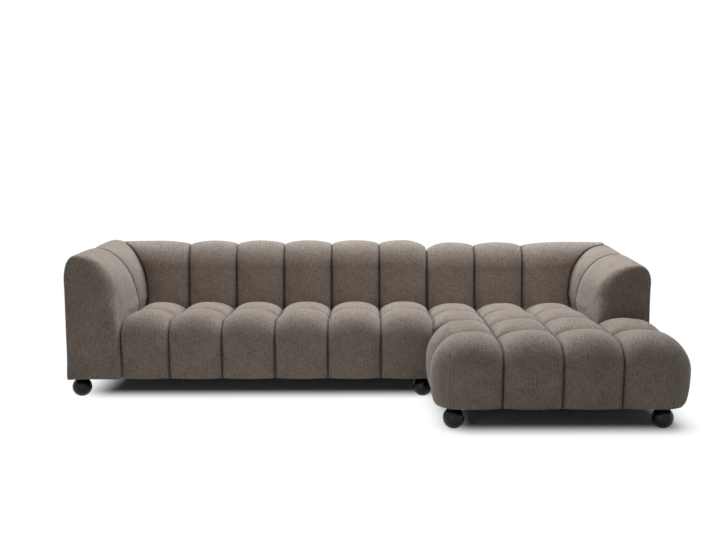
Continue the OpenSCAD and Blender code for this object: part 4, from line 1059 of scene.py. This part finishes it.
def armOutline(form, width, top, outerZ, innerZ, counts):
    # Section of an arm from the bottom of its outer side: inwards, height, outward, upward, depth
    def bent(v):
        return math.copysign(abs(v) ** (2 / form["power"]), v)

    out = []
    for i in range(counts[0]):
        out.append((0, outerZ + (form["outerBend"] - outerZ) * i / counts[0], 1, 0, form["outerDip"]))
    for i in range(counts[1] + 1):
        a = math.radians(90 * i / counts[1])
        out.append((form["peak"] * (1 - bent(math.cos(a))),
                    top - (top - form["outerBend"]) * (1 - bent(math.sin(a))), math.cos(a), math.sin(a),
                    form["outerDip"] + (form["topDip"] - form["outerDip"]) * math.sin(a)))
    innerSide = width - form["innerTuck"]
    for i in range(1, counts[2] + 1):
        a = math.radians(90 * i / counts[2])
        out.append((form["peak"] + (innerSide - form["peak"]) * bent(math.sin(a)),
                    top - (top - form["innerBend"]) * (1 - bent(math.cos(a))), -math.sin(a), math.cos(a),
                    form["topDip"] + (form["innerDip"] - form["topDip"]) * math.sin(a)))
    corners = [(innerSide, form["innerBend"], form["innerDip"]),
               (width - form["lowTuck"], form["lowZ"], form["topDip"]),
               (width, form["footZ"], form["footDip"]), (width, innerZ, 0.0)]
    for (s0, z0, d0), (s1, z1, d1), count in zip(corners, corners[1:], counts[3:]):
        for i in range(1, count + 1):
            t = i / count
            out.append((s0 + (s1 - s0) * t, z0 + (z1 - z0) * t, -1, 0, d0 + (d1 - d0) * t))
    return out


def edgeRadius(form, z, out):
    # Radius of the front edge: tight outside and on top, soft where the arm bends in, tight at the seat
    if out >= 0:
        return form["topRound"] + (form["outerRound"] - form["topRound"]) * out
    if z > form["innerBend"]:
        return form["topRound"] + (form["innerRound"] - form["topRound"]) * -out
    share = max(0, (z - form["lowZ"]) / (form["innerBend"] - form["lowZ"]))
    return form["lowRound"] + (form["innerRound"] - form["lowRound"]) * share


def armStations(form, wall, rearStart):
    # Places along an arm: round front edge, between the walls of the frame, round rear edge.
    # A zone says which lower rim a ring reaches: 0 in front, 1 between the walls, 2 behind.
    # A turn is the angle of a ring on the round front edge, whose radius changes round the arm.
    front, rear, turns, gap = seatFront, rearY, form["turns"], form["zoneGap"]

    def station(y, zone, inset=0.0, s=None, turn=None):
        return {"at": y, "inset": inset, "zone": zone, "share": s["share"] if s else 0.5, "turn": turn,
                "gap": s["gap"] if s else 1.0, "weight": s["weight"] if s else 0.0}

    along = [station(front, 0, turn=math.radians(90 * i / turns)) for i in range(turns, -1, -1)]
    middle = stations([front, backY - form["seam"], rear], 0, 0, form["spacing"])
    near = form["spacing"] / 2
    last = rear - form["rearRound"]
    start = front + form["innerRound"]
    along += [station(s["at"], 0, s=s) for s in middle if start + near < s["at"] < wall - near]
    along += [station(wall, 0), station(wall + gap, 1)]
    along += [station(s["at"], 1, s=s) for s in middle
              if wall + gap + near < s["at"] < min(rearStart - gap, last) - near]
    along += [station(rearStart - gap, 1), station(rearStart, 2)]
    for i in range(turns + 1):
        a = math.radians(90 * i / turns)
        y = last + form["rearRound"] * math.sin(a)
        if y > rearStart + 2 * gap:
            along.append(station(y, 2, form["rearRound"] * (1 - math.cos(a))))
    return along


def makeArm(name, node, body, inward, top, rise, rims, form):
    # rims are the heights of the lower rim at the front, outside, inside and at the rear
    floorZ, outerZ, innerZ, rearZ = rims
    outerX = low(node).x if inward > 0 else high(node).x
    width = high(node).x - low(node).x
    frameFront = frontWall + softGap
    frameRear = rearWall - softGap
    wall, rearStart = frameFront - form["wallGap"], frameRear + form["wallGap"]
    along = armStations(form, wall, rearStart)
    spacing = form["spacing"]
    counts = (round((form["outerBend"] - outerZ) / spacing / form["outerStretch"]),
              round((form["peak"] + top - form["outerBend"]) * form["arcShare"] / spacing),
              round((width - form["peak"] + top - form["innerBend"]) * form["arcShare"] / spacing),
              round((form["innerBend"] - form["lowZ"]) / spacing),
              round((form["lowZ"] - form["footZ"]) / spacing),
              max(2, round((form["footZ"] - innerZ) / spacing)))
    rings = []
    for k in along:
        height = top + rise * (k["at"] - seatFront) / (rearY - seatFront)
        outline = armOutline(form, width, height, (floorZ, outerZ, rearZ)[k["zone"]],
                             (floorZ, innerZ, rearZ)[k["zone"]], counts)
        ring = []
        for s, z, out, up, depth in outline:
            y, inset = k["at"], k["inset"]
            if k["turn"] is not None:
                radius = edgeRadius(form, z, out)
                y += radius * (1 - math.sin(k["turn"]))
                inset = radius * (1 - math.cos(k["turn"]))
            z -= up * inset
            if z > form["outerBend"]:
                z = form["outerBend"] + (z - form["outerBend"]) * float(fallShare(y))
            sway = form["seamSway"] * min(1, max(-1, (form["swayMiddle"] - z) / form["swayHeight"]))
            reach = max(0, 1 - abs(y - backY + form["seam"]) / form["swayReach"])
            y += sway * reach * reach * (3 - 2 * reach)
            if out < 0:
                s += float(plumpAt(y, z))
            place = (outerX + inward * (s + out * inset), y, z)
            ring.append((place, (-inward * out, 0, up), depth * k["weight"]))
        rings.append(ring)
    m = len(rings[0])

    def cap(ring, y, z, tuck):
        # Rows from a line along the bottom up to the ring
        rows = []
        for k in range(form["capSteps"]):
            u = k / form["capSteps"]
            row = []
            for c, (place, outward, depth) in enumerate(ring):
                x = outerX + inward * (form["rimInset"] + (width - 2 * form["rimInset"]) * c / (m - 1))
                row.append(((x + (place[0] - x) * u, y + tuck * (1 - u) ** 2, z + (place[2] - z) * u),
                            (0, -1 if tuck > 0 else 1, 0), 0.0))
            rows.append(row)
        return rows

    frontCap = cap(rings[0], seatFront, floorZ, form["capTuck"])
    rearCap = cap(rings[-1], rearY, rearZ, -form["capTuck"])[::-1]
    rows = frontCap + rings + rearCap
    grid = emptyGrid(len(rows), m)
    for k, key in enumerate(("place", "outward", "channelDepth")):
        grid[key][:] = [[p[k] for p in row] for row in rows]
    for i, k in enumerate(along, len(frontCap)):
        grid["acrossShare"][i], grid["fromChannelSeam"][i] = k["share"], k["gap"]
    measureRuns(grid)
    grid["runAlong"][:] = grid["runAlong"][len(frontCap) + len(along) // 2]
    grid["runAcross"][:] = grid["place"][:, :, 1]

    board = node.replace("_pad", "_top_board")
    outerS = abs((low(board).x if inward > 0 else high(board).x) - outerX) - softGap
    innerS = abs((high(board).x if inward > 0 else low(board).x) - outerX) + softGap
    cavityTop = high(board).z + softGap

    def cavity(y, lowerOut, lowerIn):
        return [(outerX + inward * s, y, z) for s, z in (
            (outerS, lowerOut), (outerS, cavityTop), (innerS, cavityTop), (innerS, lowerIn))]

    def line(y, z):
        inset = form["liningInset"]
        between = innerS - outerS - 2 * inset
        return [(outerX + inward * (outerS + inset + between * k / 3), y, z) for k in range(4)]

    reach, gap = form["liningReach"], form["zoneGap"]
    lining = [line(wall - reach, floorZ), cavity(wall, floorZ, floorZ), cavity(wall + gap, outerZ, innerZ),
              cavity(rearStart - gap, outerZ, innerZ), cavity(rearStart, rearZ, rearZ),
              line(rearStart + reach, rearZ)]
    inside = (grid["place"][:, :, 0] - outerX) * inward > form["peak"]
    makePad(name, node, body, grid, lining, form, [(0, [outerX + inward * width])], flatAxis=1,
            still=inside & (grid["place"][:, :, 1] > backY))


sofaRows = [seatFront, backY - rowDepth, backY - softGap]
chaiseRows = [seatFront + softGap, backY - rowDepth, backY - softGap]
makeSeat("sofa_seat_cushion", "sofa_seat_pad", "sofa_module", sofaSeams, sofaRows, True,
         [(frontWall, baseZ), (frontWall, padZ), (sofaRows[-1], padZ)], seatForm)
makeSeat("chaise_seat_cushion", "chaise_seat_pad", "chaise_module", chaiseSeams, chaiseRows, False,
         [(chaiseRows[0], padZ), (chaiseRows[-1], padZ)], chaiseSeatForm)
makeChaiseFront(chaiseFrontForm)
makeBorder(borderForm)
print("seats made")
makeBack("sofa_back_cushion", "sofa_back_pad", "sofa_module", sofaSeams, -1,
         ("sofa_arm_pad", high("sofa_arm_pad").z, armForm["leftRise"]), backForm)
makeBack("chaise_back_cushion", "chaise_back_pad", "chaise_module", chaiseSeams, 1,
         ("chaise_arm_pad", high("chaise_arm_pad").z - armForm["rightRise"], armForm["rightRise"]),
         {**backForm, "seed": 23.0})
print("backs made")
armBase = deckZ + softGap
makeArm("left_arm_cushion", "sofa_arm_pad", "sofa_module", 1, high("sofa_arm_pad").z,
        armForm["leftRise"], (baseZ, baseZ, armBase, baseZ), armForm)
makeArm("right_arm_cushion", "chaise_arm_pad", "chaise_module", -1,
        high("chaise_arm_pad").z - armForm["rightRise"], armForm["rightRise"],
        (armBase, armBase, armBase, baseZ), {**armForm, "seam": 0.120, "seed": 37.0})
print("arms made")


# Flat pieces: two layers over the filled cells of a grid, with walls between them

def layered(name, us, vs, filled, frontAt, backAt, material):
    work = bmesh.new()
    front, back = {}, {}
    for j, u in enumerate(us):
        for k, v in enumerate(vs):
            if any(filled(j - a, k - b) for a in (0, 1) for b in (0, 1)):
                front[j, k] = work.verts.new(frontAt(u, v))
                back[j, k] = work.verts.new(backAt(u, v))
    for j, k in np.ndindex(len(us) - 1, len(vs) - 1):
        if not filled(j, k):
            continue
        ring = [(j, k), (j + 1, k), (j + 1, k + 1), (j, k + 1)]
        work.faces.new([front[c] for c in ring])
        work.faces.new([back[c] for c in reversed(ring)])
        for side, (dj, dk) in enumerate(((0, -1), (1, 0), (0, 1), (-1, 0))):
            if not filled(j + dj, k + dk):
                a, b = ring[side], ring[(side + 1) % 4]
                work.faces.new((front[b], front[a], back[a], back[b]))
    mesh = bpy.data.meshes.new(name)
    work.to_mesh(mesh)
    work.free()
    faceOutwards(mesh)
    mesh.polygons.foreach_set("use_smooth", [True] * len(mesh.polygons))
    return pieceOf(mesh, material)


def finelySpaced(lines, spacing):
    # The lines with more lines between them
    out = [lines[0]]
    for a, b in zip(lines, lines[1:]):
        count = max(1, round((b - a) / spacing))
        out += [a + (b - a) * i / count for i in range(1, count + 1)]
    return out


# Panels on the two sides that face each other, with thin wadding under the cloth

panelForm = {"spacing": 0.015, "edge": 0.010, "edgeThin": 0.55, "tucked": 0.020, "fill": 0.2}


def makeEndPanel(name, node, body, outwards, form):
    lowest, highest = low(node), high(node)
    inside, outside = (lowest.x, highest.x) if outwards > 0 else (highest.x, lowest.x)
    # The panel is an L: its upright is tucked behind the end of the back pad
    inStep, stepZ = panelY - form["tucked"], padZ - softGap
    ys = finelySpaced([lowest.y, inStep, highest.y], form["spacing"])
    zs = finelySpaced([lowest.z, stepZ, highest.z], form["spacing"])

    def filled(j, k):
        return 0 <= j < len(ys) - 1 and 0 <= k < len(zs) - 1 and (
            ys[j] + ys[j + 1] > 2 * inStep or zs[k] + zs[k + 1] < 2 * stepZ)

    def outer(y, z):
        top = highest.z if y >= inStep - 1e-6 else stepZ
        edge = min(y - lowest.y if z <= stepZ + 1e-6 else y - inStep, highest.y - y, z - lowest.z, top - z)
        share = form["edgeThin"] + (1 - form["edgeThin"]) * min(1, max(0, edge) / form["edge"]) ** 0.5
        return (inside + (outside - inside) * share, y, z)

    piece = layered(name, ys, zs, filled, outer, lambda y, z: (inside, y, z), upholstery)
    mesh = piece.data
    layer = mesh.uv_layers.new(name="clothPlace")
    for loop in mesh.loops:
        co = mesh.vertices[loop.vertex_index].co
        layer.data[loop.index].uv = (co.y, co.z)
    subdivide(piece)
    standFor(piece, node, body)


makeEndPanel("sofa_end_panel", "sofa_end_cover", "sofa_module", 1, panelForm)
makeEndPanel("chaise_end_panel", "chaise_end_cover", "chaise_module", -1, panelForm)
print("end panels made")


# Dust cloths stapled under the modules, cut out round the foot plates and the connectors

dustForm = {
    "spacing": 0.030, "thick": 0.0007, "sag": 0.0045, "sagReach": 0.22,
    "stapleIn": 0.010, "staplePitch": 0.050, "stapleTurn": 0.12,
    "stapleCrown": 0.012, "stapleWire": 0.0011, "stapleLeg": 0.0009,
}


def makeStapleTree():
    tree, given, results = newGroup("stapleRow", (
        ("Geometry", "Geometry", None), ("Crown", "Float", 0.012), ("Wire", "Float", 0.001),
        ("Leg", "Float", 0.001), ("Steel", "Material", None)),
        (("Geometry", "Geometry"),), "GeometryNodeTree")
    maths = partial(calc, tree)

    def vector(**axes):
        return addNode(tree, "ShaderNodeCombineXYZ", axes).outputs[0]

    half = maths("MULTIPLY", given["Crown"], 0.5)
    line = addNode(tree, "GeometryNodeCurvePrimitiveLine", {"Start": vector(X=maths("MULTIPLY", half, -1.0)),
                                                            "End": vector(X=half)})
    finer = addNode(tree, "GeometryNodeResampleCurve", {"Curve": line.outputs[0], "Count": 7})
    # The ends of the wire bend up into the wood
    place = addNode(tree, "GeometryNodeInputPosition").outputs[0]
    across = addNode(tree, "ShaderNodeSeparateXYZ", (place,)).outputs["X"]
    bent = maths("POWER", maths("ABSOLUTE", maths("DIVIDE", across, half)), 6.0)
    leg = vector(Z=maths("MULTIPLY", bent, given["Leg"]))
    wire = addNode(tree, "GeometryNodeSetPosition", {"Geometry": finer.outputs[0], "Offset": leg})
    ring = addNode(tree, "GeometryNodeCurvePrimitiveCircle",
                   {"Resolution": 6, "Radius": maths("MULTIPLY", given["Wire"], 0.5)})
    staple = addNode(tree, "GeometryNodeCurveToMesh", {
        "Curve": wire.outputs[0], "Profile Curve": ring.outputs[0], "Fill Caps": True})
    points = addNode(tree, "GeometryNodeMeshToPoints", {"Mesh": given["Geometry"]})
    row = addNode(tree, "GeometryNodeInstanceOnPoints", {
        "Points": points.outputs[0], "Instance": staple.outputs[0],
        "Rotation": vector(Z=fieldOf(tree, "turn"))})
    return endTree(tree, results, row.outputs[0], given["Steel"])


stapleTree = makeStapleTree()


def makeDustCloth(name, node, body, seed, form):
    lowest, highest = low(node), high(node)
    flat = frame["nodes"][node].data
    corners = [[flat.vertices[i].co for i in face.vertices] for face in flat.polygons]
    lower = [c for c in corners if max(abs(v.z - lowest.z) for v in c) < 1e-5]

    def linesAt(axis):
        values = sorted(v[axis] for c in lower for v in c)
        return [a for a, b in zip(values, values[1:] + [math.inf]) if b - a > 1e-4]

    xs = finelySpaced(linesAt(0), form["spacing"])
    ys = finelySpaced(linesAt(1), form["spacing"])

    def covered(x, y):
        return any(intersect_point_tri_2d((x, y), *(v.xy for v in c)) for c in lower)

    cells = {(j, k): covered((xs[j] + xs[j + 1]) / 2, (ys[k] + ys[k + 1]) / 2)
             for j, k in np.ndindex(len(xs) - 1, len(ys) - 1)}

    def filled(j, k):
        return bool(cells.get((j, k)))

    def onCloth(x, y, lift=0.0):
        edge = min(x - lowest.x, highest.x - x, y - lowest.y, highest.y - y)
        slack = 1 - (1 - min(1, edge / form["sagReach"])) ** 2
        return x, y, highest.z - form["thick"] - form["sag"] * slack + lift

    piece = layered(name, xs, ys, filled, onCloth, lambda x, y: onCloth(x, y, form["thick"]), dustCloth)
    # Staples along all four edges, but not where a cut-out is near
    rows = []
    inset = form["stapleIn"]
    for along, across in ((0, 1), (1, 0)):
        first, length = lowest[along] + inset, highest[along] - lowest[along] - 2 * inset
        count = round(length / form["staplePitch"])
        for i in range(1, count):
            for side in (lowest[across] + inset, highest[across] - inset):
                at = first + length * i / count
                rows.append((at, side, 0.0) if along == 0 else (side, at, math.radians(90)))

    def clearAt(x, y):
        near = [(x + dx, y + dy) for dx in (-form["stapleCrown"], form["stapleCrown"])
                for dy in (-form["stapleCrown"], form["stapleCrown"])]
        return all(covered(*p) for p in near if lowest.x < p[0] < highest.x and lowest.y < p[1] < highest.y)

    rows = [row for row in rows if clearAt(*row[:2])]
    chance = random.Random(seed)
    places = [onCloth(x, y, -form["stapleWire"] / 2) for x, y, turn in rows]
    turns = [turn + chance.uniform(-form["stapleTurn"], form["stapleTurn"]) for x, y, turn in rows]
    staples = newPiece(name.replace("cloth", "staples"), places, [], steel)
    staples.data.attributes.new("turn", "FLOAT", "POINT").data.foreach_set("value", turns)
    throughTree(staples, stapleTree, {"Crown": form["stapleCrown"], "Wire": form["stapleWire"],
                                      "Leg": form["stapleLeg"], "Steel": steel})
    faceOutwards(staples.data)
    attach(staples, body)
    standFor(piece, node, body)


makeDustCloth("sofa_dust_cloth", "sofa_dust_cover", "sofa_module", 3, dustForm)
makeDustCloth("chaise_dust_cloth", "chaise_dust_cover", "chaise_module", 4, dustForm)
print("dust cloths made")


# Floor, light and world

studio = {
    "keySize": (5.0, 2.6), "keyPlace": (0.20, 0.84, 2.8), "keyTarget": (0.15, 0.45, 0), "keyPower": 182.0,
    "keyColour": (0.87, 0.945, 1.0),
    "fillSize": (3.0, 1.8), "fillPlace": (-2.0, -4.9, 0.9), "fillTarget": (0.0, 0, 0.2), "fillPower": 17.0,
    "fillColour": (1.0, 0.97, 0.94),
    "worldLight": 0.052, "floorGrey": 0.68, "floorHalf": 12.0,
    "sofaInset": 0.22, "chaiseInset": 0.15, "fadeFrom": 0.0, "fadeTo": 0.24,     # where the floor turns white
}


def areaLight(name, place, size, power, target, colour):
    data = bpy.data.lights.new(name, "AREA")
    data.color = colour
    data.shape = "RECTANGLE"
    data.size, data.size_y = size
    data.energy = power
    lamp = bpy.data.objects.new(name, data)
    lamp.location = place
    lamp.rotation_euler = (Vector(target) - Vector(place)).to_track_quat("-Z", "Y").to_euler()
    scene.collection.objects.link(lamp)


def seenDirectly(tree):
    # 1 for the rays that see the floor or the world itself, in view, in gloss or through glass
    path = tree.nodes.new("ShaderNodeLightPath")
    rays = [path.outputs[k] for k in ("Is Camera Ray", "Is Glossy Ray", "Is Transmission Ray")]
    return calc(tree, "MAXIMUM", calc(tree, "MAXIMUM", rays[0], rays[1]), rays[2])


def distanceToBox(tree, place, lowest, highest, inset):
    # Distance on the floor from a rectangle, drawn in by the inset
    middle = [(lowest[k] + highest[k]) / 2 for k in (0, 1)] + [0]
    half = [(highest[k] - lowest[k]) / 2 - inset for k in (0, 1)] + [9]
    fromMiddle = calcVector(tree, "ABSOLUTE", calcVector(tree, "SUBTRACT", place, middle))
    away = calcVector(tree, "SUBTRACT", fromMiddle, half)
    return calcVector(tree, "LENGTH", calcVector(tree, "MAXIMUM", away, (0, 0, 0)))


def makeFloor(form):
    half = form["floorHalf"]
    material, tree, shader = newMaterial("pale_floor")
    floor = newPiece("studio_floor", [(-half, -half, 0), (half, -half, 0), (half, half, 0), (-half, half, 0)],
                     [(0, 1, 2, 3)], material)
    place = objectPlace(tree)
    inset = form["sofaInset"]
    sofa = distanceToBox(tree, place, (cadBounds[0].x, seatFront), (breakX + 2 * inset, rearY), inset)
    chaise = distanceToBox(tree, place, (breakX, cadBounds[0].y), (cadBounds[1].x, rearY),
                           form["chaiseInset"])
    fade = addNode(tree, "ShaderNodeMapRange", {"Value": calc(tree, "MINIMUM", sofa, chaise),
                                                "From Min": form["fadeFrom"], "From Max": form["fadeTo"]},
                   interpolation_type="SMOOTHSTEP").outputs[0]
    direct = seenDirectly(tree)
    black, white = (0, 0, 0, 1), (1, 1, 1, 1)
    pale = mixColours(tree, noiseOf(tree, place, 3.0, 3.0), (0.98, 0.98, 0.98, 1), white)
    seen = mixColours(tree, fade, pale, black)
    for key, value in {
            "Base Color": mixColours(tree, direct, (form["floorGrey"],) * 3 + (1,), seen),
            "Emission Color": mixColours(tree, calc(tree, "MULTIPLY", direct, fade), black, white),
            "Emission Strength": 1.0, "Roughness": 0.9, "Specular IOR Level": 0.1}.items():
        feed(tree, shader.inputs[key], value)


def makeWorld(form):
    world = bpy.data.worlds.new("studio")
    world.use_nodes = True
    tree = world.node_tree
    colour = mixColours(tree, seenDirectly(tree), (form["worldLight"],) * 3 + (1,), (1, 1, 1, 1))
    feed(tree, tree.nodes["Background"].inputs["Color"], colour)
    scene.world = world


makeFloor(studio)
makeWorld(studio)
for lamp in ("key", "fill"):
    areaLight(lamp, *(studio[lamp + part] for part in ("Place", "Size", "Power", "Target", "Colour")))
scene.view_settings.view_transform = "Standard"
